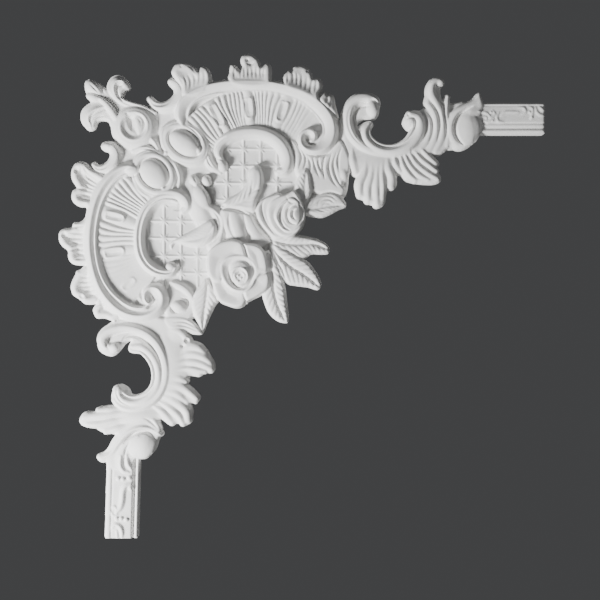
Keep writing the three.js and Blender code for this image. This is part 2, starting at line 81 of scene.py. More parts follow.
# %% Smooth curves
def smooth_route(points, steps=8):
    """Centripetal curve through rows of numbers: each span is a blend of three straight blends,
    with knots spaced by the square root of the distance between neighbours."""
    rows = np.asarray(points, float)
    if len(rows) == 2:
        share = np.linspace(0, 1, steps + 1)[:, None]
        return rows[0] + (rows[1] - rows[0]) * share
    ends = np.vstack([2 * rows[0] - rows[1], rows, 2 * rows[-1] - rows[-2]])
    a, b, c, d = ends[:-3, None], ends[1:-2, None], ends[2:-1, None], ends[3:, None]

    def knot(p, q):
        """Square root of the distance between two points."""
        return np.maximum(np.hypot(*np.moveaxis((q - p)[..., :2], -1, 0)), 1e-6)[..., None] ** 0.5

    t1 = knot(a, b)
    t2 = t1 + knot(b, c)
    t3 = t2 + knot(c, d)
    t = t1 + (t2 - t1) * np.linspace(0, 1, steps, endpoint=False)[None, :, None]
    ab = (t1 - t) / t1 * a + t / t1 * b
    bc = (t2 - t) / (t2 - t1) * b + (t - t1) / (t2 - t1) * c
    cd = (t3 - t) / (t3 - t2) * c + (t - t2) / (t3 - t2) * d
    abc = (t2 - t) / t2 * ab + t / t2 * bc
    bcd = (t3 - t) / (t3 - t1) * bc + (t - t1) / (t3 - t1) * cd
    curve = (t2 - t) / (t2 - t1) * abc + (t - t1) / (t2 - t1) * bcd
    return np.vstack([curve.reshape(-1, rows.shape[1]), rows[-1:]])


def spread(values, count):
    """Values spaced evenly over a number of points, with straight blends between them."""
    values = np.atleast_1d(np.asarray(values, float))
    return np.interp(np.linspace(0, 1, count), np.linspace(0, 1, len(values)), values)


# %% Cross-sections
ROUND = [(-1, 0.25), (-0.92, 0.58), (-0.75, 0.8), (-0.4, 0.96), (0, 1), (0.4, 0.96), (0.75, 0.8),
    (0.92, 0.58), (1, 0.25)]
RIB = [(-1, 0.6), (-0.8, 0.78), (-0.5, 0.93), (0, 1), (0.5, 0.93), (0.8, 0.78), (1, 0.6)]
SOFT = [(-1, 0.45), (-0.8, 0.62), (-0.45, 0.88), (0, 1), (0.45, 0.88), (0.8, 0.62), (1, 0.45)]
LEFT_RIM = [(-1, 0.5), (-0.8, 0.68), (-0.5, 0.88), (-0.22, 0.99), (-0.1, 1), (0.05, 0.95), (0.22, 0.84),
    (0.36, 0.78), (0.6, 0.76), (1, 0.68)]
TOP_RIM = [(-1, 0.55), (-0.8, 0.74), (-0.6, 0.93), (-0.42, 1), (-0.2, 0.98), (0.2, 0.91), (0.5, 0.83),
    (0.62, 0.78), (0.75, 0.77), (1, 0.7)]
HOOK = [(-1, 0.45), (-0.75, 0.74), (-0.48, 0.96), (-0.36, 1), (-0.24, 0.95), (-0.1, 0.86), (0.04, 0.89),
    (0.18, 0.97), (0.32, 0.94), (0.6, 0.68), (1, 0.45)]
COVE = [(-1, 0.45), (-0.75, 0.66), (-0.45, 0.9), (-0.15, 1), (0.2, 0.98), (0.55, 0.9), (0.8, 0.72),
    (1, 0.45)]
LIP = [(-1, 0.35), (-0.86, 0.72), (-0.7, 0.94), (-0.56, 1), (-0.35, 0.95), (0.1, 0.8), (0.6, 0.68),
    (1, 0.6)]
CRESCENT = [(-1, 0.6), (-0.84, 0.86), (-0.72, 0.9), (-0.52, 0.76), (-0.4, 0.78), (-0.12, 0.96), (0.2, 1),
    (0.55, 0.95), (0.85, 0.78), (1, 0.5)]


def across(share, section):
    """Smooth curve through a cross-section's points: cubic spans whose slopes are the harmonic
    mean of the straight slopes beside them, and level at every crest and hollow."""
    knots, rises = np.asarray(section, float).T
    slopes = np.diff(rises) / np.diff(knots)
    left, right = slopes[:-1], slopes[1:]
    inner = np.where(left * right > 0, 2 * left * right / np.where(left + right == 0, 1, left + right), 0)
    tangents = np.concatenate([slopes[:1], inner, slopes[-1:]])
    share = np.clip(share, knots[0], knots[-1])
    span = np.clip(np.searchsorted(knots, share, side="right") - 1, 0, len(knots) - 2)
    width = knots[span + 1] - knots[span]
    t = (share - knots[span]) / width
    return ((2 * t**3 - 3 * t**2 + 1) * rises[span] + (t**3 - 2 * t**2 + t) * width * tangents[span]
            + (3 * t**2 - 2 * t**3) * rises[span + 1] + (t**3 - t**2) * width * tangents[span + 1])


# %% The relief and its tools
FAR_OUTSIDE = -50.0
RAMP_WIDTH = 1.5


class Relief:
    """Height over the sheet, and a field that is above nothing only on the material."""

    def __init__(self, cell=CELL):
        self.cell = cell
        right = np.arange(SHEET_LEFT, SHEET_RIGHT + cell / 2, cell)
        down = np.arange(SHEET_TOP, SHEET_BOTTOM + cell / 2, cell)
        self.x, self.y = np.meshgrid(right, down)
        self.height = np.zeros_like(self.x)
        self.inside = np.full_like(self.x, FAR_OUTSIDE)

    def window(self, points, reach):
        """Part of the grid around some points, so that a small stroke costs little."""
        low = (points.min(0)[:2] - reach - 2 - (SHEET_LEFT, SHEET_TOP)) / self.cell
        high = (points.max(0)[:2] + reach + 2 - (SHEET_LEFT, SHEET_TOP)) / self.cell + 2
        i0, j0 = np.maximum(low.astype(int), 0)
        i1, j1 = np.minimum(high.astype(int), self.x.shape[::-1])
        return slice(j0, j1), slice(i0, i1)

    def nearest(self, curve, where):
        """Share along the curve, distance with the sign of its side, and the curve's own numbers
        at the nearest point of it, for each grid point of a window."""
        px, py = self.x[where].ravel(), self.y[where].ravel()
        step = np.diff(curve[:, :2], axis=0)
        length = np.hypot(*step.T)
        along = np.concatenate([[0], np.cumsum(length)])
        knot = ((px[:, None] - curve[None, :, 0]) ** 2 + (py[:, None] - curve[None, :, 1]) ** 2).argmin(1)
        found = None
        for offset in (-1, 0):
            i = np.clip(knot + offset, 0, len(step) - 1)
            dx, dy = px - curve[i, 0], py - curve[i, 1]
            t = np.clip((dx * step[i, 0] + dy * step[i, 1]) / np.maximum(length[i] ** 2, 1e-12), 0, 1)
            gap = np.hypot(dx - t * step[i, 0], dy - t * step[i, 1])
            side = np.sign(step[i, 0] * dy - step[i, 1] * dx)
            rest = curve[i, 2:] + t[:, None] * (curve[i + 1, 2:] - curve[i, 2:])
            new = np.column_stack([gap, (along[i] + t * length[i]) / along[-1], gap * side, rest])
            found = new if found is None else np.where(new[:, :1] < found[:, :1], new, found)
        return [found[:, k].reshape(self.x[where].shape) for k in range(1, found.shape[1])]

    def merge(self, where, inside, height, blend=1.0, over=False):
        """Highest of the old and new heights, rounded where they meet. Laid over, the new height
        takes the old one's place, with a short ramp at its edge."""
        old = self.height[where]
        closeness = np.clip(1 - np.abs(old - height) / blend, 0, 1)
        ramp = np.clip(inside / RAMP_WIDTH, 0, 1)
        ramp = ramp**2 * (3 - 2 * ramp)
        joined = old + ramp * (height - old) if over else np.maximum(old, height) + closeness**2 * blend / 4
        self.height[where] = np.where(inside > 0, joined, old)
        self.inside[where] = np.maximum(self.inside[where], inside)

    def band(self, points, heights, section=ROUND, widths=None, blend=1.0):
        """Raised stroke: height times the cross-section at distance over half width."""
        rows = np.asarray(points, float)
        width = spread(widths, len(rows)) if widths is not None else rows[:, 2]
        curve = smooth_route(np.column_stack([rows[:, :2], width, spread(heights, len(rows))]))
        curve[:, 2] = np.maximum(curve[:, 2], 0.4)
        where = self.window(curve, curve[:, 2].max())
        _, offset, half, top = self.nearest(curve, where)
        height = top * across(offset / half, section)
        self.merge(where, half - np.abs(offset), height, blend)

    def groove(self, points, width, depth, ends=0.3):
        """Soft cut line: the depth times the square of (1 - share squared), where the share is the
        distance over 0.7 of the width. It narrows and fades towards its ends, and a negative depth
        raises a thin line instead."""
        rows = np.asarray(points, float)
        taper = spread([ends, 0.9, 1, 1, 0.9, ends], len(rows)) if len(rows) > 2 else np.array([1.0, 1.0])
        curve = smooth_route(np.column_stack([rows[:, :2], taper]))
        where = self.window(curve, width)
        _, offset, taper = self.nearest(curve, where)
        share = offset / np.maximum(0.7 * width * np.clip(taper, 0, 1), 0.7)
        self.height[where] -= depth * np.clip(taper, 0, 1) * np.clip(1 - share**2, 0, 1) ** 2

    def grooves(self, rows):
        """Several cut lines: a row holds the points of a route, then its width and depth."""
        for *route, width, depth in rows:
            self.groove(route, width, depth)

    def axes(self, where, centre, turn):
        """Distances from a centre along a turned direction and across it, in millimetres."""
        angle = np.radians(turn)
        dx, dy = self.x[where] - centre[0], self.y[where] - centre[1]
        return dx * np.cos(angle) + dy * np.sin(angle), dy * np.cos(angle) - dx * np.sin(angle)

    def oval(self, centre, half_length, half_width, turn):
        """Window around an oval, and the share of its radius that each point lies at."""
        where = self.window(np.array([centre]), max(half_length, half_width))
        along, side = self.axes(where, centre, turn)
        return where, np.hypot(along / half_length, side / half_width)

    def mound(self, centre, half_length, half_width, turn, height, edge=0.5, power=0.5, blend=1.0,
            over=False):
        """Oval mound: the edge's share of the height, and the rest by (1 - radius squared) to a power."""
        where, radius = self.oval(centre, half_length, half_width, turn)
        rise = edge + (1 - edge) * np.clip(1 - radius**2, 0, 1) ** power
        self.merge(where, (1 - radius) * min(half_length, half_width), height * rise, blend, over)

    def hollow(self, centre, half_length, half_width, turn, rim, floor):
        """Oval bowl: from the floor it rises with the square of the radius, and cuts what is higher."""
        where, radius = self.oval(centre, half_length, half_width, turn)
        bowl = floor + (rim - floor) * radius**2
        self.height[where] = np.where(radius < 1, np.minimum(self.height[where], bowl), self.height[where])

    def plate(self, outline, height, edge=3.0, low=0.55, dish=0.0, reach=10.0, tilt=None, veins=None,
            blend=1.0, over=False):
        """Plate inside a closed smooth outline. Its edge is a quarter round of the given width, and
        its middle sinks by the dish over the given reach. A tilt of two points and two shares
        changes the height evenly from the one to the other, and veins add a height of their own."""
        points = np.asarray(outline, float)
        ring = smooth_route(np.vstack([points[-2:], points, points[:2]]), 6)[12:-6]
        where = self.window(ring, 0)
        _, offset = self.nearest(ring, where)
        px, py = self.x[where][..., None], self.y[where][..., None]
        (x0, y0), (x1, y1) = ring[:-1].T, ring[1:].T
        crosses = (y0 > py) != (y1 > py)
        rise = np.where(y1 == y0, 1e-9, y1 - y0)
        within = (crosses & (px < (x1 - x0) * (py - y0) / rise + x0)).sum(-1) % 2 == 1
        depth = np.where(within, np.abs(offset), -np.abs(offset))
        t = np.clip(depth / edge, 0, 1)
        top = height * (low + (1 - low) * np.sqrt(1 - (1 - t) ** 2))
        if dish:
            sink = np.clip((depth - edge) / reach, 0, 1)
            top = top - dish * sink**2 * (3 - 2 * sink)
        if tilt:
            start, end, first, last = tilt
            way = np.subtract(end, start)
            share = ((px[..., 0] - start[0]) * way[0] + (py[..., 0] - start[1]) * way[1]) / (way @ way)
            top = top * (first + (last - first) * np.clip(share, 0, 1))
        if veins is not None:
            top = top + veins(where, depth)
        self.merge(where, depth, top, blend, over)


# %% [markdown]
# ## Heights
#
# Old ornament keeps few levels: a low ground, scrolls above it, and flowers on top. The levels that
# several forms share are named once, which keeps neighbours in step. A form's own height stands
# beside its outline.

# %% Levels in millimetres
GROUND, WEB, BALL = 8.5, 9.0, 20.0
print("ground", GROUND, "mm, webs", WEB, "mm and balls", BALL, "mm above the wall")


# %% [markdown]
# ## Ground
#
# Behind the ornament runs a thin smooth ground, with webs that tie the two arms to it.

# %% Ground and webs
def ground(relief):
    """A low plate under the whole ornament, and webs under the two arms."""
    relief.plate([(118, 112), (150, 108), (178, 100), (190, 86), (250, 79), (312, 86), (332, 106),
        (346, 140), (349, 176), (344, 198), (322, 206), (307, 212), (302, 226), (290, 240), (262, 290),
        (212, 302), (196, 318), (160, 320), (120, 312), (99, 298), (85, 262), (85, 226), (92, 196),
        (106, 176), (114, 140)], GROUND)
    relief.plate([(340, 128), (350, 112), (356, 128), (364, 142), (386, 152), (410, 147), (424, 120),
        (440, 108), (448, 126), (444, 146), (424, 160), (404, 172), (378, 184), (352, 172)], WEB)
    relief.plate([(118, 318), (150, 312), (184, 318), (190, 345), (192, 366), (184, 392), (172, 408),
        (150, 414), (130, 410), (118, 402), (124, 394), (146, 402), (161, 384), (160, 366), (150, 346),
        (130, 334)], WEB)
    relief.plate([(418, 112), (442, 104), (478, 104), (480, 133), (464, 146), (444, 150), (424, 146)], WEB)
    relief.plate([(114, 408), (158, 412), (156, 440), (138, 460), (107, 462), (114, 446), (122, 430),
        (112, 420)], WEB)


# %% [markdown]
# ## Shells
#
# Each shell is a fan of flutes between an outer and an inner scroll. A flute is a shallow groove
# that runs out from the shell's centre, so the whole fan is a wave over the angle.

# %% Flutes
def fan(relief, centre, near, far, cuts, bed, rise, ridge):
    """Bed height plus a rise towards the rim, plus a half round ridge between each two cuts."""
    dx, dy = relief.x - centre[0], relief.y - centre[1]
    radius, angle = np.hypot(dx, dy), np.degrees(np.arctan2(dy, dx)) % 360
    angle = angle + 0.9 * np.sin(radius / 9.0 + angle / 5.0)
    edges = np.array(cuts, float)
    within = (radius > near) & (radius < far) & (angle > edges[0]) & (angle < edges[-1])
    slot = np.clip(np.searchsorted(edges, angle, side="right") - 1, 0, len(edges) - 2)
    gap = edges[slot + 1] - edges[slot]
    phase = (angle - edges[slot]) / gap
    share = np.clip((radius - near) / (far - near), 0, 1)
    fade = np.clip(share * 6, 0, 1) ** 0.7 * np.clip((1 - share) * 9, 0, 1) ** 0.7
    swell = np.abs(np.sin(np.pi * phase)) ** 0.7 * np.clip(gap * radius / 250, 0.5, 1.1)
    height = np.interp(angle, *np.array(ridge, float).T)
    surface = bed + rise * share**2 + height * fade * swell
    relief.height[within] = np.maximum(relief.height[within], surface[within])


def loops(relief, places, rise):
    """Long hairpin of a raised line on the flutes, with a slot inside it: its open end, its round
    end, and a half width."""
    for start, end, half_width in places:
        way = np.subtract(end, start) / np.hypot(*np.subtract(end, start))
        side = np.array([way[1], -way[0]]) * half_width
        near, far, tip = np.array(start, float), np.array(end, float), half_width * way
        relief.groove([near, near + 0.3 * (far - near), far - 0.2 * (far - near), far], 0.9 * half_width,
            0.8 * rise)
        relief.groove([near + 0.2 * side, near + 0.8 * side, near + side + way, far + side,
            far + 0.7 * (side + tip), far + tip, far + 0.7 * (tip - side), far - side, near - side + way,
            near - 0.8 * side, near - 0.2 * side], 3.0, -rise, ends=0.6)


TOP_CUTS = [213, 217, 221, 224.5, 228, 231, 235, 243.5, 246.5, 250, 252.5, 255, 257.5, 260, 268, 270.2,
    272.6, 275.2, 278, 281.5, 285, 294.5, 298, 301.5, 304.5, 308, 312, 317]
LEFT_CUTS = [130, 139, 151, 154.5, 158, 161.5, 165, 168, 176.7, 181.2, 186.1, 189.9, 194, 205.5, 209, 212,
    215, 218.3, 221.5, 225, 229, 234]
TOP_RIDGE = [(213, 2.0), (235, 2.6), (285, 2.6), (296, 2.2), (304, 1.2), (317, 0.4)]
LEFT_RIDGE = [(130, 0.2), (150, 0.3), (165, 0.5), (176, 2.2), (195, 2.6), (225, 2.6), (234, 1.8)]


def shells(relief):
    """The flutes first, then the hairpins on them, then the scrolls that frame them."""
    fan(relief, (257, 182), 54, 94, TOP_CUTS, 11.2, 2.4, TOP_RIDGE)
    fan(relief, (185, 242), 46, 90, LEFT_CUTS, 11.2, 1.4, LEFT_RIDGE)
    loops(relief, [((248, 99.5), (249.5, 115), 4.0), ((285, 103), (280, 118), 3.9),
        ((212, 106.5), (221, 123), 3.8), ((106.5, 215.5), (121, 218.6), 3.8),
        ((105.5, 254), (120.5, 251.6), 3.8)], 1.7)
    loops(relief, [((124, 289), (132, 281.5), 3.4)], 0.9)
    top_shell(relief)
    left_shell(relief)


# %% Scrolls of the top shell
def top_shell(relief):
    """The outer rim that curls in at the right, the inner scroll, and the eyes of both curls."""
    relief.mound((317, 139), 21, 16, 18, 14.5, 0.6, 0.6)
    relief.band([(184, 125, 4.6), (181.6, 117, 6.6), (183, 108, 7.4), (188, 100.6, 7.6), (197, 94.6, 7.4),
        (209, 90, 7), (224, 87, 7), (240, 86, 7), (256, 86, 7.2), (272, 87.4, 7.2), (287, 90.8, 7.4),
        (301, 95.8, 7.6), (312.6, 102.6, 7.8), (322.6, 111.6, 8), (329, 122, 8), (330.4, 134, 8),
        (326.4, 144, 7.6), (317.6, 149.4, 6.4), (308, 149, 5.4), (302.4, 143.6, 4.6), (302.6, 136.6, 4),
        (307.4, 132.4, 3.6), (312.8, 134.4, 3.2), (313.6, 139.6, 2.8), (310.6, 142, 2)],
        [17, 19, 20, 20, 20, 20, 20, 20, 20, 20, 20, 20, 20, 20, 20, 20.2, 20.4, 20.4, 20.2, 20, 20, 20],
        TOP_RIM)
    relief.band([(187.6, 121), (189.6, 111), (194.6, 104), (203, 98.6), (216, 94.8), (232, 93)],
        [14, 17, 17, 16.8, 16.4, 15], widths=[1.2, 2.1, 2.1, 2.0, 1.8, 1.2])
    relief.grooves([
        [(305, 104.5), (314, 111.5), (321, 119.5), (324.6, 127), (324.8, 135), (321, 141), (315.6, 144),
            2.6, 1.6],
        [(304.6, 135.6), (306.4, 140), (311, 144.6), (317, 145), 3.2, 3.4],
        [(316.6, 131), (318.6, 135.6), (317.6, 140), 3.0, 2.8]])
    relief.band([(221, 162, 4.4), (218, 153, 5.8), (220.8, 144, 6.8), (229, 137, 7.4), (241, 133, 7.6),
        (255, 132, 7.6), (268.4, 135, 7.8), (279, 142, 8.2), (286, 152, 8.2), (288, 162, 7.6),
        (285, 171, 6), (279, 172.5, 4.4)], [16, 17.6, 18, 18, 18, 18, 18, 18, 17, 16], COVE)
    relief.mound((223, 166), 5.2, 6.4, 0, 17.5, 0.5)
    relief.grooves([
        [(226, 137.6), (219, 143), (214.6, 151), (216.6, 158), (222, 160.5), 3.6, 3.2],
        [(231, 141), (225.5, 146), (222.6, 153), (225, 160), (229, 165), (227, 171), 2.8, 2.6]])
    relief.band([(208, 154), (209, 161), (214, 168), (220, 172)], [12, 14.4, 14.4, 12],
        widths=[3, 4.6, 4.6, 3])
    relief.grooves([
        [(207, 156), (209, 163), (213.5, 168.5), 2.4, 2.4],
        [(275, 169), (279, 173), (285, 171), 2.4, 1.8]])


# %% Scrolls of the left shell
def left_shell(relief):
    """The outer rim that curls in at the foot, its bead, the inner scroll and a small one on it."""
    relief.mound((154, 300), 17, 16, -20, 14.5, 0.6, 0.5)
    relief.band([(153, 300, 2), (150, 303.4, 2.6), (146.4, 299.6, 3.2), (146.6, 293, 4),
        (151.6, 288.6, 5), (158.4, 290, 6.4), (162, 297, 7.4), (160.4, 305.4, 7.8), (153, 312, 7.8),
        (143.6, 315, 7.8), (133, 314.4, 7.8), (121, 309.4, 8.2), (110.4, 300, 8.4), (102, 288, 8.4),
        (96.6, 274, 8.4), (93, 258, 8.4), (91.6, 241, 8.4), (92.8, 224, 8.4), (96, 208, 8.2),
        (101, 194, 8), (108.4, 182, 7.8), (118, 172.6, 7.2), (128.4, 168, 6), (135.5, 169, 4.6)],
        [19.6, 20, 20.2, 20.4, 20.4, 20.2, 20, 20, 20, 20, 20, 20, 20, 20, 20, 20, 20, 20, 20, 20, 19.4,
        18.5, 17.5], LEFT_RIM)
    relief.band([(150.5, 303), (145, 307.6), (136, 308), (127, 304.6), (118, 298), (109.6, 289),
        (103, 278), (98.8, 265), (96.6, 251), (96.2, 238), (97.6, 223), (101, 208), (106, 196),
        (113, 185), (122, 177), (131, 173)], [18, 18.6, 18.4, 18, 18, 18, 18, 18, 18, 18, 17.6, 16.6, 15],
        widths=[1.6, 2.4, 2.8, 2.4, 2.2, 2.1, 2.1, 2.0, 2.0, 2.0, 1.8, 1.6, 1.4])
    relief.grooves([
        [(142.6, 289), (141.2, 295), (143.4, 302), 2.8, 2.6],
        [(150.6, 293), (153.6, 298), (152.6, 304), (147.6, 308), 2.8, 3.2]])
    relief.band([(176, 266, 4.2), (171, 272, 5.4), (160, 272, 6.4), (149.5, 266, 7), (142.5, 255.5, 7),
        (140, 243, 7), (140.5, 230, 7), (144, 217, 7), (150.5, 206.5, 6.8), (160, 200, 6.4),
        (170, 198.5, 5.6), (178, 201, 4)], [16, 17.4, 18, 18, 18, 18, 18, 18, 17, 15], HOOK)
    relief.mound((171.5, 267), 6, 5.4, 0, 17.5, 0.5)
    relief.groove([(166, 264), (172, 262), (177.5, 266), (176, 271.5)], 2.0, 1.8)
    relief.band([(152, 200), (160, 195.6), (170, 193.6), (179.6, 195.4), (186, 200.6), (187.4, 207.4),
        (183, 211.6)], [14, 16, 17.6, 18, 18, 16.6, 14], COVE, widths=[4, 6.4, 7, 7, 6.6, 5.4, 3.6],
        blend=3)
    relief.groove([(168, 199.6), (175, 199.4), (179.6, 203.4), (178.6, 209), (174, 210)], 3.4, 2.4)


# %% [markdown]
# ## Trellis
#
# Inside each shell lies a diapered ground: thin raised bars at an even pitch with a small star on
# each crossing, as a stamp would press them. The height falls away from the nearest bar.

# %% Trellis bars and stars
BAR_TOP, BAR_FALL, BAR_POWER = 10.2, 1.1, 1.2
STAR_RISE, STAR_FALL, STAR_REACH = 0.4, 2.0, 5.0


def trellis(relief, box, columns, rows):
    """A bar falls with a power of the distance to it. A star falls with the difference of the
    distances to the two bars that cross there, and with the square of the larger one."""
    left, top, right, bottom = box
    within = (relief.x > left) & (relief.x < right) & (relief.y > top) & (relief.y < bottom)
    dx = np.abs(relief.x[..., None] - np.array(columns)).min(-1)
    dy = np.abs(relief.y[..., None] - np.array(rows)).min(-1)
    bar = BAR_TOP - BAR_FALL * np.minimum(dx, dy) ** BAR_POWER
    farther = np.maximum(dx, dy) / STAR_REACH
    star = BAR_TOP + STAR_RISE - BAR_FALL * np.abs(dx - dy) - STAR_FALL * farther**2
    surface = np.maximum(np.maximum(bar, star), GROUND)
    relief.height[within] = surface[within]


# %% [markdown]
# ## The outer corner
#
# A bud and two hooks make the finial, a ring boss sits behind them, and two smooth oval jewels in
# round frames fill the corner between the shells. A jewel could be a squashed ball, but as a height
# by the distance from its edge, dome, groove and frame are one profile.

# %% Finial
def finial(relief):
    """A bud and an upper hook on one low plate, and a lower hook beside them."""
    relief.plate([(84.5, 84), (88, 80.5), (93, 80), (98, 82.6), (103, 86), (108, 90), (112, 97),
        (120, 101), (126, 103), (134, 105), (144, 106.5), (156, 112), (158, 121), (146, 124), (130, 122),
        (118, 124), (111, 127), (108, 121.6), (104, 120), (99, 120.5), (96, 123), (95, 127), (92, 129.5),
        (88, 130), (85, 127.5), (82.5, 122), (81, 117), (82, 111), (85, 106.5), (90, 103.6), (87.4, 96),
        (85, 91)], 10.6, edge=3)
    relief.band([(108, 103), (100, 105.6), (92, 108.6), (86.6, 114), (86, 121), (89.6, 126.6)],
        [12.4, 14.4, 15, 14.6, 13.4, 12], LIP, widths=[4, 5.4, 6, 6, 5, 3.4], blend=2)
    relief.band([(104, 111), (97.6, 114.6), (93.6, 119.6), (92.6, 125.6)], [11.6, 13, 13, 11.6],
        widths=[2.4, 3.4, 3.4, 2.6], blend=1.6)
    relief.groove([(103, 115.6), (97.6, 117), (93.6, 120.6), (91.6, 126)], 2.2, 1.8, ends=0.6)
    relief.mound((93.6, 88.4), 10.6, 6.6, 44, 15.6, 0.55, blend=2)
    relief.mound((94, 97.4), 8.4, 4.8, 20, 14.4, 0.55, blend=1.6)
    relief.groove([(87.6, 92), (94, 93), (101, 97.6), (105, 101)], 2.2, 2.0, ends=0.5)
    relief.groove([(90.6, 84.6), (95.6, 89.6), (101, 95.6)], 2.0, 1.3, ends=0.5)
    relief.groove([(96.6, 84.4), (101, 89), (105, 94.6)], 1.8, 0.9, ends=0.5)
    relief.band([(99, 98), (104.6, 102.4), (110.6, 109), (115.6, 117), (118.6, 122)],
        [13, 15, 15.6, 15, 13.6], ROUND, widths=[3, 3.8, 4.4, 4.4, 3.6], blend=2)
    relief.groove([(103.6, 97.6), (110, 102.6), (115.6, 108.6), (119.6, 117)], 2.6, 2.6, ends=0.6)
    relief.plate([(109, 85), (111, 80), (114, 77.5), (119, 76.5), (124, 78.5), (128, 82), (129.5, 85.6),
        (128.5, 88.4), (125.5, 90.5), (123.5, 93.4), (122.4, 97), (123.5, 100.5), (128, 104), (134, 106),
        (128, 108), (118, 104), (111, 97), (108, 90)], 13.6, edge=3)
    relief.mound((125, 85.6), 4.8, 4.2, 30, 15.6, 0.5, blend=1.6)
    relief.band([(126.6, 83), (122, 79.6), (116, 80), (112.4, 84.6), (112, 91), (115.4, 97.6), (121, 102),
        (130, 105.4), (142, 108.6), (154, 114)], [14.6, 16, 16.4, 16, 15.6, 15.4, 15, 14.4, 13.6, 12.6],
        LIP, widths=[2.4, 3.6, 4.6, 5, 5, 5, 4.6, 4.2, 3.8, 3], blend=1.4)
    relief.groove([(122.6, 85.6), (118.4, 86.6), (116.8, 91), (118.6, 96.6), (123, 101)], 3.4, 3.2,
        ends=0.6)
    relief.groove([(109.6, 93), (113.6, 99), (120, 104), (130, 107.6), (142, 111), (153, 117)], 1.8, 1.3,
        ends=0.5)


# %% Ring boss, short hooks and jewels
def turned(relief, centre, half_length, half_width, turn, section):
    """Oval turning: the height follows the distance in millimetres outside an oval's edge."""
    reach = section[-1][0]
    where = relief.window(np.array([centre]), max(half_length, half_width) + reach)
    along, side = relief.axes(where, centre, turn)
    share = np.maximum(np.hypot(along / half_length, side / half_width), 1e-6)
    outside = np.hypot(along, side) * (1 - 1 / share)
    height = across(np.clip(outside, section[0][0], reach), section)
    relief.merge(where, reach - outside, height)


def boss(relief):
    """The turned ring boss with its small leaf, and a short hook on either side of it."""
    turned(relief, (134.5, 127), 12, 12, 0, [(-12, 13.6), (-6, 13.5), (-3, 13.3), (-1, 14.2), (1, 16.2),
        (2.2, 16.6), (3.4, 15.8), (4.2, 15.4), (5.6, 15), (8, 12.8), (11, 9), (12, 6)])
    relief.mound((139, 125), 7, 10, 12, 16, 0.76, blend=3)
    relief.grooves([
        [(136, 114.6), (142, 117.6), (145, 124), (144, 131), (140, 136), 3.0, 1.5],
        [(137.6, 118.6), (141, 121.6), (141.6, 127.4), 2.4, 0.9]])
    relief.groove([(127.6, 114), (130.6, 119), (133.6, 127), (138, 135)], 7.6, 3.6, ends=0.25)
    relief.band([(172, 81.6), (178.6, 87), (180.4, 95), (175, 103), (165, 107.6), (156, 106),
        (150, 99.6)], [13, 15, 16, 16, 15, 14, 12.4], COVE, widths=[4.6, 6.4, 7, 7, 6.4, 5.4, 4.2],
        blend=2)
    relief.grooves([
        [(150.6, 101), (153.6, 104.6), (160, 106), (168, 103.6), (173.6, 98), 3.4, 1.8],
        [(176, 81), (181.5, 86), (183.4, 93), 3.4, 2.0]])
    relief.band([(105.6, 146), (112.6, 147.6), (116.6, 155), (113.6, 163.6), (105, 169.4), (97, 168.6),
        (93.6, 165)], [13.4, 15, 16, 16, 15, 13.5, 12], COVE, widths=[5, 6.2, 7, 7, 6.2, 5, 3.6], blend=2)
    relief.groove([(94, 166.6), (99, 169.4), (106, 167.6), (111, 161.6)], 3.0, 1.6)
    relief.mound((108.5, 146.5), 4.4, 4.2, 0, 15.4, 0.5, blend=2)


def jewel(relief, centre, half_length, half_width, turn):
    """Smooth dome in a crisp groove, with two beads round it."""
    turned(relief, centre, half_length, half_width, turn, [(-12, 20.5), (-9, 20.2), (-5, 18.9),
        (-2.5, 17.2), (-1, 15), (0, 12.6), (0.8, 12.8), (1.8, 15.4), (2.8, 16.1), (4.8, 16), (5.8, 15),
        (6.4, 14.2), (7.1, 14.8), (7.9, 14.2), (9.4, 10.4), (10.4, 9)])


def jewels(relief):
    """Two domes in their frames, then the grains and thin leaves about them."""
    jewel(relief, (185, 143.5), 17.6, 11.6, 35)
    jewel(relief, (154.5, 174), 16.6, 13.0, 50)
    relief.mound((132.6, 170.4), 8, 5.6, -10, 18.6, 0.6, 0.6, blend=2)
    relief.groove([(125.6, 178), (131.6, 177.4), (137, 174.4), (139.4, 170)], 2.8, 2.6)
    relief.mound((199, 151), 3.6, 4.4, 0, 18.6, 0.5)
    relief.mound((166.5, 153.5), 3.0, 3.0, 0, 16.5, 0.5)
    relief.mound((164, 189.5), 2.6, 2.6, 0, 16.5, 0.5)
    relief.band([(169, 124), (163.6, 130), (162.6, 139), (166, 149), (174, 157), (184, 161), (195, 162),
        (204, 157)], [13, 15, 15.6, 15.6, 15.4, 15, 14, 12], widths=[2.6, 3, 3, 3, 3, 3, 2.6, 2])
    relief.band([(187, 124), (195, 128.6), (202, 136), (206, 146)], [13.6, 15, 15, 13],
        widths=[2.2, 2.6, 2.6, 2.2])
    relief.groove([(186.6, 126.4), (194, 131.2), (200, 138), (203.6, 146)], 1.8, 1.6)
    relief.band([(170, 158), (176.5, 167), (180, 178), (178, 190)], [13, 15, 15, 13],
        widths=[2.4, 3, 3, 2.4])
    relief.groove([(167, 159), (173.4, 167), (177.2, 178), (174.4, 189)], 1.8, 1.8)
    relief.band([(133, 176), (137, 187), (146, 195.5), (158, 198)], [13, 14.6, 14.6, 12],
        widths=[2.4, 2.8, 2.8, 2.2])
    relief.band([(148, 138), (153, 141), (156.6, 146), (158.6, 151)], [12, 14.4, 14, 12],
        widths=[3.4, 4, 3.2, 2])
    relief.groove([(150, 139.6), (153, 143.4), (157, 149.6)], 1.8, 1.6)
    relief.band([(133, 151), (142, 148.6), (152, 150.4), (160, 155)], [12, 14, 14, 12],
        widths=[2.6, 3.6, 3.4, 2.4])
    relief.groove([(138, 151), (146, 149), (154, 151.4), (160, 154.6)], 1.8, 1.8)


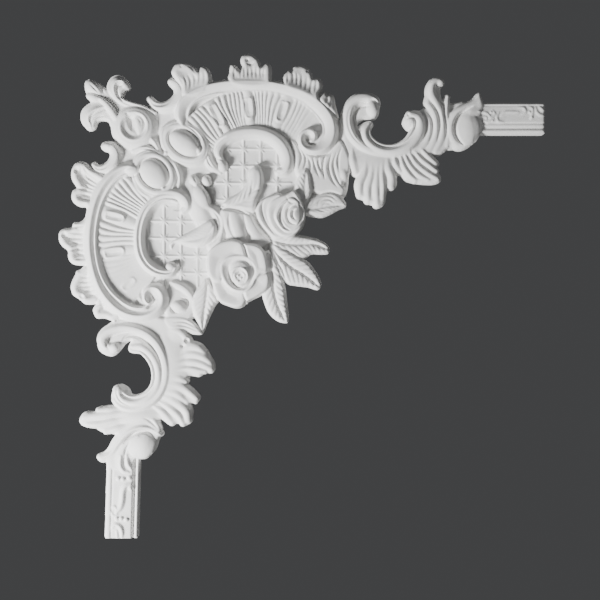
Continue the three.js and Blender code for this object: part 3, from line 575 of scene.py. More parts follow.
# %% [markdown]
# ## Curled edges of the shells
#
# Small rolled lobes stand along the outside of both shells, as the frilled lip of a real shell
# does, and each carries a few ribs. Those behind the upper rim start at its height and fall
# outwards. The others are highest at their lip and run in under the rim.

# %% Edge clumps
def clump(relief, outline, folds, pits, root=None, tip=None):
    """Plate that is highest at its rolled lip and sinks inwards, parted by folds and pitted at the
    curls. One behind the upper rim, with a root and a tip, falls from the rim's height outwards."""
    if root is None:
        fold_depth, pit_rim, pit_floor = 1.9, 14, 11.4
        relief.plate(outline, 14.4, edge=4.6, low=0.5, dish=4.0, reach=6.5)
    else:
        fold_depth, pit_rim, pit_floor = 1.2, 17.5, 14.2
        relief.plate(outline, 20.4, edge=4.4, low=0.5, dish=1.4, reach=6.5, tilt=(root, tip, 1.0, 0.74))
    for route in folds:
        relief.groove(route, 3.2, fold_depth)
    for right, down, radius in pits:
        relief.hollow((right, down), radius + 0.8, radius + 0.8, 0, pit_rim, pit_floor)


def edge_clumps(relief):
    """Four clumps stand behind the upper rim, and three beside the left one."""
    clump(relief, [(175, 80), (172.5, 76), (171.5, 72.5), (173, 68), (176, 64.5), (180, 62.8), (187, 63),
        (192, 65), (196, 68), (198.5, 70.6), (200.5, 67.5), (204, 66.5), (208, 68.5), (211, 73),
        (212, 82), (206, 94), (190, 100), (183, 98), (181, 88)],
        [[(199, 70), (200.6, 77), (199, 86)], [(193, 74), (196, 80), (195, 88)],
        [(188, 75), (191.5, 82), (191, 90)], [(184.5, 77), (187, 84), (187, 92)],
        [(180, 79), (183.6, 85), (184, 94)], [(205, 73), (205.6, 80), (204, 86)],
        [(186, 66), (192, 69), (196, 75)]], [(181.5, 67, 2.0)], (198, 94), (184, 64))
    clump(relief, [(227.5, 80), (229.5, 74), (229.8, 69), (231, 65.5), (234, 65), (237, 67), (239.5, 70),
        (241.5, 68), (240.5, 63), (241, 58), (244, 55), (249, 53.8), (254, 55), (258, 58.5), (261, 63),
        (262, 66.5), (265, 64), (268, 63.5), (271, 66), (272, 77), (270, 88), (232, 88)],
        [[(241, 69), (241.4, 74), (241, 80)], [(262, 66), (261, 73), (261.4, 80)],
        [(245, 68), (245, 74), (245, 80)], [(249, 69), (249, 74), (249, 80)],
        [(253, 68), (253, 74), (253, 80)], [(257, 67), (257, 74), (257, 80)],
        [(264.5, 70), (264, 75), (264, 80)], [(235, 69), (234.6, 74), (235, 80)],
        [(246, 64), (251, 65.5), (256, 62)]], [(247.5, 61, 2.0)], (250, 82), (250, 56))
    clump(relief, [(283, 78), (286.5, 73), (289, 71), (291.5, 71), (294, 67.5), (298, 65.5), (302, 65),
        (306, 66.5), (310, 70), (313, 75), (314, 78.5), (317, 77.5), (320, 79), (322.5, 83), (322.5, 88),
        (319.5, 95), (320, 106), (300, 97), (284, 90)],
        [[(292, 72), (293.5, 78), (293, 85)], [(297, 74), (297.5, 80), (297, 87)],
        [(302, 76), (302, 82), (301, 89)], [(307, 77), (307, 84), (305, 91)],
        [(313, 78), (311.6, 86), (309.6, 94)], [(316.6, 82), (316, 89), (314, 96)],
        [(288, 75), (288, 81), (287, 86)]], [(307.5, 72, 2.0)], (298, 92), (306, 68))
    clump(relief, [(323, 93.5), (325, 92.2), (327.5, 94.6), (330, 94), (333, 95.5), (335, 100),
        (335.5, 105), (337, 111), (338.5, 119), (330, 114), (318, 101)],
        [[(328, 96), (327, 101), (324.6, 106)], [(331.6, 99), (331, 105), (329, 110)]], [], (322, 104),
        (334, 96))
    clump(relief, [(90, 167), (86.5, 163), (83, 161.5), (79, 161.5), (75, 164), (72, 169), (71, 175),
        (72.5, 181), (75, 185), (76.5, 188), (73, 190.5), (71.5, 195), (72, 200), (75, 204), (79, 206.5),
        (85, 207), (88, 210), (98, 206), (102, 194), (110, 180), (100, 172)],
        [[(76.5, 188), (84, 189.6), (93, 192)], [(84, 167), (88, 173), (98, 180)],
        [(85, 173), (89, 178), (98, 184)], [(84, 179), (89, 183), (97, 187)],
        [(83, 184), (88, 187), (95, 189.6)], [(79, 194), (86, 195), (93, 197)],
        [(79, 199), (86, 200), (92, 201)]], [(77.5, 170.5, 2.6)])
    clump(relief, [(86, 217), (83, 220), (79, 222), (74, 222.5), (72.5, 225), (71.5, 227.5), (65, 228),
        (60, 231), (58.5, 237), (60, 243), (63, 247), (67, 250), (68, 252), (68, 257), (70, 261.5),
        (74, 264.5), (84, 265.4), (95, 264), (94, 240), (95, 218)],
        [[(72, 228), (76, 227), (84, 226)], [(68, 250.6), (75, 249.6), (84, 249)],
        [(69, 233), (76, 233), (84, 233)], [(68, 238), (76, 238), (84, 238)],
        [(68, 243.6), (76, 243.6), (84, 243.6)], [(74, 254.6), (80, 254), (86, 254)],
        [(75, 259.6), (80, 259), (86, 259)]], [(65, 235, 2.4)])
    clump(relief, [(85, 265.5), (80.5, 269.5), (76.4, 271), (75.5, 274), (73, 279), (71, 284), (71, 290),
        (73, 295), (78, 298.5), (82, 301.5), (85, 304), (92, 304.6), (96, 303.6), (93, 309), (93.5, 313),
        (95.5, 317), (97, 318.5), (105, 318.6), (114, 321), (122, 314), (106, 298), (97, 278), (93, 266)],
        [[(96.4, 303.4), (98, 300), (102, 296)], [(82, 277), (87, 277), (92, 276)],
        [(79, 282), (86, 281.6), (94, 280)], [(80, 287), (87, 286), (95, 284.6)],
        [(83, 292), (89, 290.6), (97, 288.6)], [(87, 297.6), (92, 295.4), (99, 292.6)],
        [(100, 310), (104, 307), (109, 304)], [(97, 306), (102, 303), (105, 300)]], [(82, 297, 2.2)])


# %% [markdown]
# ## Leaves
#
# A carved leaf is a plate with a soft edge, two swelling halves, a midrib cut between them, and
# side veins that run forward to the edge.

# %% One leaf
def leaf(relief, outline, midrib, height, pitch=7.0, lean=0.9, depth=1.0, cut=2.0, edge=4.2, tilt=None):
    """Plate whose halves swell beside the valley of the midrib. The side veins are rounded waves:
    the phase is the way along the midrib less the lean times the way off it, over the pitch."""
    rib = smooth_route(np.column_stack([midrib, np.zeros(len(midrib))]))
    length = np.hypot(*np.diff(rib[:, :2], axis=0).T).sum()

    def veins(where, inward):
        """Swell of each half, less the midrib's valley, plus the waves of the side veins."""
        share, offset, _ = relief.nearest(rib, where)
        off = np.abs(offset)
        valley = cut * np.exp(-((off / 1.5) ** 2)) * np.clip(8 * (1 - share), 0, 1)
        ridges = np.sqrt(np.abs(np.sin(np.pi * (share * length - lean * off) / pitch)))
        fade = np.clip(off / 2.6, 0, 1) * np.clip((inward - 0.6) / 1.6, 0, 1)
        swell = 0.9 * np.sin(np.pi * np.clip(off / (off + np.maximum(inward, 0.01)), 0, 1))
        return swell - valley + depth * (ridges - 1) * fade

    relief.plate(outline, height, edge=edge, low=0.55, tilt=tilt, veins=veins)


# %% Leaves about the roses
def rose_leaves(relief):
    """Leaves that spread from under the roses, each of them lower at its tip."""
    leaf(relief, [(270, 238), (284, 234), (296, 234.6), (302, 235.5), (310, 237), (320, 240),
        (326, 243.5), (329.5, 248), (328.5, 253.5), (320, 254.5), (312, 254.5), (306, 258.5),
        (303, 260.5), (288, 254), (276, 248)],
        [(271, 240), (285, 244), (300, 244.5), (313, 244), (329, 249.6)], 17.5, 6.0, 1.1, 1.1,
        tilt=((274, 243), (328, 250), 1.0, 0.72))
    leaf(relief, [(270, 244), (280, 246), (296, 255), (303, 258.5), (309, 262.5), (315, 270), (320, 278),
        (321.5, 286), (318, 290), (308, 287.5), (296, 286), (286, 283.5), (276, 268)],
        [(270, 242), (278, 255), (290, 266), (303, 274), (320, 287)], 19, 6.6, 1.1, 1.1,
        tilt=((272, 248), (318, 286), 1.0, 0.74))
    leaf(relief, [(262, 256), (268, 250), (274, 256), (280, 268), (284.5, 282), (287, 300), (288, 322.6),
        (283, 323), (278, 321.5), (273, 318), (268, 312), (264.6, 304), (262, 294)],
        [(270, 256), (272.4, 276), (275, 295), (279, 308), (286, 322)], 18.6, 6.6, 1.1, 1.1,
        tilt=((270, 262), (284, 320), 1.0, 0.74))
    relief.groove([(270, 244), (276, 258), (283, 272), (287, 282)], 2.6, 2.4, ends=0.5)
    leaf(relief, [(304, 208), (311, 199), (320, 194), (330, 192), (338, 193.4), (343, 198), (346.4, 206),
        (339, 209.5), (330, 214.5), (322, 217.5), (313, 217), (305, 214.5)],
        [(304, 211), (318, 208.5), (332, 206), (346, 206)], 18, 5.6, 1.8, 0.7, 0.9,
        tilt=((306, 212), (346, 205), 1.0, 0.72))
    for arc in [[(312, 206), (315, 199.6), (322, 196.4), (331, 196.6), (337.4, 201.6)],
            [(317, 207), (319.4, 202), (325, 199.6), (331, 200.6), (334.6, 204)],
            [(322, 207.6), (324, 204.4), (328, 203.4), (331.4, 205)],
            [(312, 213), (318, 214.6), (325, 213.4), (332, 210.4)],
            [(317, 210.6), (323, 211.4), (329, 209.6)]]:
        relief.groove(arc, 2.4, 0.9)
    leaf(relief, [(294, 192), (297, 180), (301, 172.5), (305.5, 168), (309, 173), (311, 182), (312, 194),
        (307, 202), (298, 199)], [(303, 200), (305, 186), (306.4, 169)], 17.8, 5.6, 1.3, 1.2, 0.7,
        edge=3.4, tilt=((302, 200), (305, 168), 1.0, 0.9))
    relief.groove([(309.4, 171), (312.2, 180), (312.6, 194)], 2.2, 1.4)
    relief.mound((307, 203), 7, 5.6, 0, 15.6, 0.8, blend=3)
    leaf(relief, [(206, 279), (199, 287), (194, 293), (191, 301), (191.4, 309), (194.5, 317), (198, 324),
        (202, 333.5), (206, 326), (210, 316), (215, 306), (219, 300), (215, 290), (210, 283)],
        [(208, 280), (206.6, 298), (204.6, 312), (202.4, 332)], 15.5, 6.0, 1.1, 1.4, 2.2,
        tilt=((208, 284), (200, 332), 1.0, 0.75))


# %% Stem, buds and leaves at the middle
def middle(relief):
    """The stalk and its buds, the two leaves that cross the middle, and the folds below them."""
    relief.mound((199, 205), 27, 12, 70, 15.6, 0.5, 0.8, blend=6)
    relief.mound((202.6, 197), 13, 7.4, 62, 18, 0.66, 0.7, blend=5)
    relief.groove([(201.6, 183), (206.6, 189), (210.4, 196), (212, 203), (217, 209)], 5.6, 5.4)
    relief.mound((194.4, 181), 6.4, 4.8, 60, 15.4, 0.6, blend=3)
    relief.grooves([
        [(189.6, 179.6), (192.4, 184), (196, 187.6), 2.4, 1.6],
        [(193, 176.4), (195, 179.6), (197.6, 184.4), 2.2, 1.3],
        [(196.8, 174.6), (198.6, 178), (199.6, 182), 2.4, 2.0]])
    relief.mound((206.8, 180.8), 6, 5, 80, 17, 0.5, blend=2)
    relief.groove([(202.4, 176.4), (206.6, 174.4), (211.4, 177), (212.6, 182.6), (210.6, 187.6)], 3.4, 3.0)
    relief.band([(206, 206), (213, 210), (219.4, 218), (222, 229), (219, 240), (211, 247)],
        [13, 14, 14.6, 14.6, 14, 12], SOFT, widths=[4, 6, 6.6, 6.4, 6, 4.6], blend=5)
    leaf(relief, [(207, 221), (213, 220), (217, 226), (216, 235), (209, 243), (200, 247), (190, 246.6),
        (180, 244), (174.6, 243.6), (171.6, 250), (169.4, 246), (171.6, 241.4), (179, 237), (188, 232.6),
        (198, 227)], [(215, 224), (209, 234), (196, 240), (182, 241.6), (170, 245)], 15.6, 5.6, 1.7, 0.6,
        0.5, edge=5, tilt=((212, 224), (170, 248), 1.06, 0.76))
    relief.grooves([
        [(214, 211.6), (219, 218), (220.8, 228), (217.6, 237), (210, 244.6), 3.0, 2.2],
        [(221, 213), (224.6, 222), (225.4, 232), (221.6, 241), 3.0, 1.8]])
    relief.plate([(221, 210), (236, 208), (252, 212), (262, 224), (273, 240), (264, 247), (244, 245),
        (231, 243), (225, 230)], 15.4, edge=5, low=0.7, blend=4)
    leaf(relief, [(220.6, 207.6), (223, 203), (231, 197.4), (239, 192.6), (245, 186), (248.6, 178),
        (249.6, 171), (253, 167.6), (258.6, 168), (262.4, 173), (263.4, 182), (261.4, 191), (257.6, 200),
        (254.6, 213), (247, 213), (239, 211), (230, 209.6)],
        [(221, 208), (236, 205), (248, 199), (256, 187), (258, 168)], 17.6, 6.0, 1.3, 0.45, 0.3, edge=5,
        tilt=((220, 207), (258, 180), 0.8, 1.0))
    relief.mound((255.6, 177), 11, 6.6, 100, 18.8, 0.84, 0.8, blend=3)
    relief.groove([(264, 184), (259.6, 189), (254, 191), (249, 195)], 3.4, 1.7)
    for step in range(5):
        foot, tip = 228 + 5.4 * step, 236.6 + 4.2 * step
        relief.groove([(foot, 206 - 1.6 * step), (0.5 * (foot + tip), 201.6 - 2.4 * step),
            (tip, 197 - 4.2 * step)], 2.6, 1.0)
    relief.groove([(220, 209.4), (230, 209.4), (240, 211.4), (251, 216)], 3.4, 3.2)
    relief.hollow((223, 206), 3.4, 3.0, 0, 15.5, 10.5)
    relief.mound((237, 229), 19, 8.4, 80, 18.6, 0.62, 0.6, blend=3)
    relief.groove([(229.6, 214), (229.4, 222), (232, 232), (236.4, 241)], 3.6, 2.2)
    relief.mound((252.6, 229), 17, 7, 62, 17.6, 0.66, 0.6, blend=3)
    relief.groove([(243.6, 214), (245.4, 223), (246.4, 232), (246.4, 242)], 3.0, 1.7)
    relief.groove([(247.4, 230), (249, 236), (248.6, 243)], 5.0, 3.6, ends=0.4)
    relief.groove([(252, 215), (258, 223), (264.6, 231.6), (271.6, 241)], 6.6, 6.0, ends=0.5)


# %% [markdown]
# ## Roses
#
# An open rose is a wreath of cupped petals about a tight bud. Each petal stands highest at its
# outer lip and sinks towards the middle, and every inner petal lies over the ones outside it.

# %% Large rose
def beads(relief, places, radius, height):
    """Small round grains in a row."""
    for place in places:
        relief.mound(place, radius, radius, 0, height, 0.8, 0.6, blend=0.5)


def large_rose(relief):
    """Outer petals that lie one over another, the cup of the centre, and the grains in it."""
    petal = dict(edge=3.6, low=0.6, dish=2.8, reach=14.0, over=True)
    relief.plate([(209.5, 270), (211.6, 283), (214.6, 293), (219, 302), (226, 305.6), (237, 308.6),
        (243.6, 306.6), (247, 301.6), (249, 292), (236, 284), (218, 266)], 20.5, **petal)
    relief.plate([(253, 274), (261, 272.4), (269.4, 273), (269.6, 287.6), (262, 295), (254, 299.4),
        (247, 302), (243, 293), (248, 283)], 21.5, **petal)
    relief.plate([(242, 243), (247, 243), (256, 244), (264, 249), (267.6, 258), (268.6, 272),
        (262, 276.6), (254, 282), (250, 270), (246, 256)], 24, **petal)
    relief.plate([(206.6, 262), (208.4, 252), (215.6, 245), (225, 240.4), (235, 239.2), (242.6, 242),
        (246.8, 250), (249, 262), (236, 266), (226, 272), (222, 282), (214, 283), (208, 274)], 23.4,
        **petal)
    relief.grooves([
        [(241.6, 242), (245, 248), (247, 256), (251, 263), 3.0, 3.2],
        [(257.6, 277), (262, 274), (268, 273.4), 2.2, 1.8]])
    relief.plate([(221, 264), (220.6, 273), (223.6, 281.6), (229.6, 288.8), (237.6, 292.6), (247, 292.6),
        (254, 286), (257, 276), (256, 264), (249, 256.4), (238, 254.6), (227, 257.4)], 23.8, edge=2.0,
        low=0.88, dish=3.2, reach=6.0, over=True)
    relief.band([(245.6, 291), (247.6, 297), (246.6, 303)], [22, 21, 17], widths=[1.4, 1.6, 1.2])
    relief.mound((241.6, 273), 15.6, 13.2, 80, 26.6, 0.72, 0.7)
    relief.grooves([
        [(229.6, 266), (229.6, 275), (232.6, 282.4), (238, 287.4), (243.6, 288), 3.6, 3.0],
        [(251.6, 262), (254.2, 269), (253.6, 278), (250, 285), (244.6, 290), 3.0, 2.2],
        [(233.6, 264), (240, 261), (247, 263), (251, 268), 2.6, 0.8]])
    relief.hollow((240, 277), 9.4, 8.4, 70, 26, 23.6)
    for route in [[(233.6, 281), (232.4, 275), (235, 269.6), (240, 267.6)],
            [(241.6, 268), (246.6, 271), (248.6, 277), (246, 283)],
            [(236, 285), (240.6, 286), (245, 284)], [(236.6, 279.6), (235.4, 275.4), (238.6, 272.4)],
            [(242, 272.4), (245.2, 275.4), (244, 280)]]:
        relief.groove(route, 2.6, -1.9, ends=0.5)
    beads(relief, [(238.8, 276), (241.8, 278.6), (238.6, 281.4)], 2.0, 25.8)


# %% Small rose
def small_rose(relief):
    """Two outer petals, a cupped one over them, and a half-open bud."""
    petal = dict(low=0.62, reach=11.0, over=True)
    relief.plate([(255.4, 210), (258.6, 203), (264.6, 198), (272, 195), (281, 193.6), (284, 204),
        (279, 214), (278, 226), (286, 238), (276, 240), (266, 232), (258, 221)], 20.5, edge=3.0, dish=2.0,
        **petal)
    relief.groove([(266, 199), (262, 207), (263, 216), (267.6, 226), (275, 235)], 2.6, 2.2)
    relief.plate([(266.6, 212), (270, 203), (277.6, 197.6), (286.6, 194), (293.4, 190.6), (299.6, 196),
        (303.6, 205), (306, 216), (303, 227), (297, 235), (288, 239), (278, 235.6), (270, 226)], 23,
        edge=2.6, dish=2.6, **petal)
    relief.plate([(273.6, 216), (277, 208), (283.6, 201), (292, 197.6), (299.6, 203), (303.8, 213),
        (302, 225), (295.6, 232), (286.6, 234), (278, 226.6)], 24.4, edge=2.2, dish=2.8, **petal)
    relief.mound((292.6, 215.4), 14, 11.4, 95, 26.8, 0.72, 0.7)
    relief.grooves([
        [(288, 202.6), (281.8, 210), (280, 219), (283.6, 227.6), (290, 231), 3.2, 3.6],
        [(294, 205.6), (288.6, 210), (287, 216.6), (289.6, 223), (295.6, 225), 3.2, 4.4],
        [(298.6, 205), (302, 211.6), (301.4, 220), (297.6, 226), 3.0, 3.4],
        [(296, 210), (292.8, 213), (292.6, 217.6), (295.6, 220.4), 2.8, 3.4],
        [(286, 197), (290, 203), (297, 203.6), 2.0, 1.2],
        [(293.6, 191), (298, 197), (302, 205), 1.8, 1.0]])


# %% [markdown]
# ## Folds and small growths
#
# Between the roses, the shells and the arms the carver filled every gap with drapery-like folds.

# %% Folds right of the trellis and below the left shell
def folds(relief):
    """Drapery right of the trellis, then the small growths below the left shell."""
    relief.plate([(290, 138), (300, 146), (312, 155), (328, 154), (340, 140), (350, 158), (349, 176),
        (343, 184), (345.6, 190), (341, 196), (330, 193), (316, 194), (306, 186), (296, 174), (294, 156)],
        13.8, edge=3.4)
    for route in [[(297, 146), (301.6, 158), (298, 171)], [(301.6, 150), (306, 160), (303, 172)],
            [(307, 156), (310.6, 165), (309, 175)], [(313, 157), (315, 167), (319.6, 178)],
            [(318.4, 157), (319, 166), (323, 175)], [(325.6, 154), (322.6, 167), (324.6, 179)],
            [(331.4, 155), (328.4, 168), (332, 180), (337, 187)],
            [(336.6, 153), (333.4, 165), (336, 177), (342, 188)], [(341.6, 148), (338, 160), (339, 172)]]:
        relief.groove(route, 2.8, 2.0)
    relief.grooves([
        [(325.6, 155), (322.6, 167), (324.6, 179), 2.4, 1.4],
        [(331.4, 155), (328.4, 168), (332, 180), 2.4, 1.4]])
    relief.mound((343.4, 174.6), 5.6, 8, 0, 15.5, 0.5)
    relief.plate([(168, 280), (178, 282), (187, 287), (195, 298), (196, 308), (192, 318), (184, 326),
        (168, 322), (164, 308)], 11.5, edge=4)
    relief.band([(172, 283), (182, 287), (190, 294), (193, 301)], [13, 15, 14.6, 12], COVE,
        widths=[4, 5.6, 5, 3.4])
    relief.grooves([
        [(174.6, 289), (182, 291), (189, 296.6), 1.8, 1.2],
        [(181, 297.6), (187.4, 300), (188.6, 305), (186, 311), 2.6, 3.0]])
    relief.mound((178.6, 306), 8, 6, 15, 16.5, 0.5)
    relief.groove([(170.6, 306), (172.6, 311), (178, 313)], 3.0, 3.0)
    relief.plate([(164, 318), (178, 316), (190, 319), (198, 326), (202.6, 334), (194, 334.6),
        (184, 331.6), (168, 328)], 13, edge=3)
    for drop in (0, 3.2, 6.2):
        relief.groove([(173, 322 + drop), (184, 321.6 + drop * 1.2), (197, 327.6 + drop * 0.9)], 1.8, 1.3)


# %% [markdown]
# ## Arms
#
# Each arm is a pair of opposed scrolls about an open crescent, with acanthus fronds behind it and
# a ball and comma where the moulding begins.

# %% Fingers and right arm
def fingers(relief, rows, height):
    """Rounded ribs of a frond: a route and a half width each, thin at the root and lower at the tip."""
    for *route, width in rows:
        widths = [width * 0.6] + [width * 1.15] * (len(route) - 2) + [width * 0.95]
        heights = [height - 1.5] + [height + 0.5] * (len(route) - 2) + [height - 1]
        relief.band(route, heights, RIB, widths=widths, blend=1.6)


def right_arm(relief):
    """The fronds' low plate and fingers, the two scrolls of the crescent, then comma and ball."""
    relief.plate([(341, 112), (344.5, 104.5), (349, 98), (355, 94.5), (363, 93), (370, 94.5), (376, 99),
        (379.5, 104), (379.5, 110), (377.5, 114.5), (374, 118), (369, 119), (363, 119.5), (359.5, 122),
        (357.4, 126), (361, 124), (366, 121.5), (370, 121.5), (373.5, 124.5), (371, 131), (370.5, 136),
        (372.4, 140), (376, 143.5), (380, 146.5), (386, 148), (393, 148), (400, 146), (406, 143.5),
        (410, 140), (412, 136), (411, 131.5), (407, 129.5), (404.5, 126.5), (402.5, 122.5), (404, 118),
        (408, 112.6), (413, 110), (421, 110), (426, 106.5), (424.3, 102), (425, 98.4), (427, 95),
        (427, 88), (428.5, 83), (431, 80), (435, 78), (438, 77.5), (442, 78.5), (444, 80.5), (443, 84),
        (440.8, 90), (441.5, 97), (442.6, 99.4), (445.5, 94.5), (448, 94), (450, 96.4), (450.5, 102),
        (450.6, 110), (457, 106), (465, 102.5), (470, 100), (473, 98), (476, 94), (479, 93), (481, 95),
        (482.6, 101.6), (477, 106), (472, 116), (475, 130), (474, 142), (470, 146.5), (462, 150.2),
        (456, 150), (450, 147.5), (445, 151.6), (440, 155), (433, 156.6), (437, 160), (439.8, 164.6),
        (436, 169.4), (441, 176), (441, 181), (436, 183.8), (423, 184), (410, 182), (405, 180),
        (400, 175), (396, 175), (397.2, 182), (395.6, 188), (391, 190), (386, 190.5), (386, 197),
        (384.6, 204), (379, 208), (374, 205.4), (368, 203.5), (362.6, 199.6), (357, 197.6), (355.5, 190),
        (358, 184), (359.5, 178), (353.6, 172.6), (349.5, 169), (347, 158), (341, 140)], 12.2, edge=4.2,
        low=0.45)
    relief.mound((372, 163), 24, 14, 12, 14.0, 0.6, blend=3)
    fingers(relief,
        [[(352, 150), (352.6, 160), (356, 172), 5.0],
        [(366, 158), (364.6, 172), (359.6, 184), (360, 194), 4.6],
        [(372, 160), (371, 176), (367.6, 188), (368, 200), 4.4],
        [(377.6, 162), (376.6, 178), (376, 192), (377, 204), 4.6],
        [(382.4, 160), (381.6, 174), (382.6, 188), (382, 198), 3.8],
        [(387, 158), (388, 168), (391.4, 177), (391, 186), 4.8],
        [(394, 156), (395, 163), (399.6, 171), 3.8],
        [(400, 155), (403, 166), (409, 175), (415, 180), 3.4],
        [(404, 154), (409, 165), (417, 174), (428, 180), 3.4],
        [(409, 153), (415, 163), (424, 171), (437, 179), 3.6],
        [(414, 151), (421, 160), (429, 166), (436, 171), 3.4], [(420, 148), (427, 156), (435, 163), 3.8]],
        14.2)
    relief.band([(428, 97), (428, 104), (433.4, 112), (436, 124), (434.6, 138), (428, 152)],
        [12, 14, 15, 15.4, 14.6, 12.6], ROUND, widths=[3, 4.4, 5.2, 5.4, 5.4, 4.6], blend=2)
    relief.band([(424, 112), (428.6, 122), (429, 134), (423, 146), (414, 152)], [12, 14, 14, 13.6, 12.6],
        ROUND, widths=[3.6, 4, 4.2, 4.4, 3.6], blend=2)
    relief.band([(441.4, 82), (437, 80.6), (431.6, 85), (430.8, 93), (434.6, 102), (440, 112), (442, 124),
        (441, 138), (435, 152)], [13, 16, 17, 16, 15.4, 15.4, 15.4, 14.6, 12.6], ROUND,
        widths=[2.6, 4, 4.8, 5.4, 6, 6.2, 6, 5.4, 4], blend=2)
    relief.band([(448, 96.6), (446.6, 105), (446, 116), (448.6, 130), (446.6, 146)],
        [12, 14, 14, 13.4, 12.4], ROUND, widths=[2.4, 3.4, 3.4, 3.8, 3.4], blend=1.4)
    relief.mound((439.4, 82.4), 5.4, 4.6, 0, 15.4, 0.5, blend=3)
    relief.grooves([
        [(440, 87), (437.4, 89), (437.4, 95), (442, 104), (444.4, 112), 3.2, 2.4],
        [(429, 99), (434, 107), (438.6, 117), (439.6, 128), (437, 142), 3.6, 2.2],
        [(426, 112), (431.6, 120), (432.6, 132), (428.6, 144), 3.4, 1.7],
        [(444.6, 103), (443.6, 111), (445, 122), (446, 134), 3.0, 1.7]])
    relief.band([(374.6, 110), (374.4, 102.6), (367, 98.6), (358, 99.6), (351, 106), (347.8, 116),
        (348.6, 127), (353, 137), (361, 145.4), (371, 151), (384, 154), (397, 154), (409, 151)],
        [17, 17.6, 17.6, 17.6, 17.4, 17, 16.6, 16.2, 15.6, 15, 14], COVE,
        widths=[4.4, 6.2, 6.6, 6.6, 6.6, 6.4, 6.4, 6.2, 6, 5.6, 5, 4.4, 3.4], blend=2)
    relief.mound((372.6, 109), 10, 6.8, 82, 18.8, 0.62, 0.7, over=True)
    relief.grooves([
        [(368.4, 107), (363.4, 106.4), (358.4, 109), (355, 114.6), (354, 122), (356, 130.6),
            (361, 138.6), (369, 145.4), (381, 150), 3.6, 4.6],
        [(367, 103.4), (357.4, 103), (350.4, 109), (347.6, 118), (348.8, 129), (354, 139), (363, 147.4),
            2.4, 1.0]])
    relief.band([(369.4, 124.6), (365.6, 131), (367, 139.4), (374, 146.6), (385, 150.6), (397, 149.8),
        (407.6, 145), (415, 137), (418.6, 128), (416.6, 119), (410, 115.6)],
        [14, 16, 17, 17.4, 17.6, 17.6, 17.6, 17.6, 17.6, 17.4, 17], CRESCENT,
        widths=[3.4, 5, 5.6, 6, 6, 6.4, 7.2, 8, 8, 6.6, 5], blend=2)
    relief.mound((410.4, 121), 7.4, 7.8, 0, 18, 0.5, blend=4)
    relief.grooves([
        [(405.4, 125), (406.6, 119.6), (412, 118.6), (415, 124), (413, 131), 2.6, 1.6],
        [(424, 114), (426.4, 122), (425, 133), (419, 143), (410, 149.6), 3.4, 3.0]])
    relief.band([(479.4, 93.6), (473.6, 102), (465, 107.4), (456, 113.4), (451, 122), (450.6, 133),
        (455.6, 143), (464, 146.4)], [11, 13.6, 15.4, 15.8, 15.4, 14.6, 13.4, 11.4], COVE,
        widths=[1.8, 3.6, 4.6, 4.8, 4.8, 4.6, 4.4, 2.6], blend=3)
    relief.plate([(479, 93), (482.4, 100), (483.6, 106), (480, 114), (470, 116), (466, 108), (473, 102)],
        13, edge=5, low=0.72, blend=4)
    relief.mound((471, 121), 13, 15, 0, 14.4, 0.6, 0.8, blend=6)
    relief.mound((467, 130.6), 13.6, 16, 20, BALL - 3.6, 0.62, 0.8, blend=6)
    relief.groove([(472, 107), (465, 110.6), (458.4, 116.6), (455, 124.6), (455, 133), (458, 140),
        (463.6, 145.4)], 4.2, 3.4, ends=0.3)


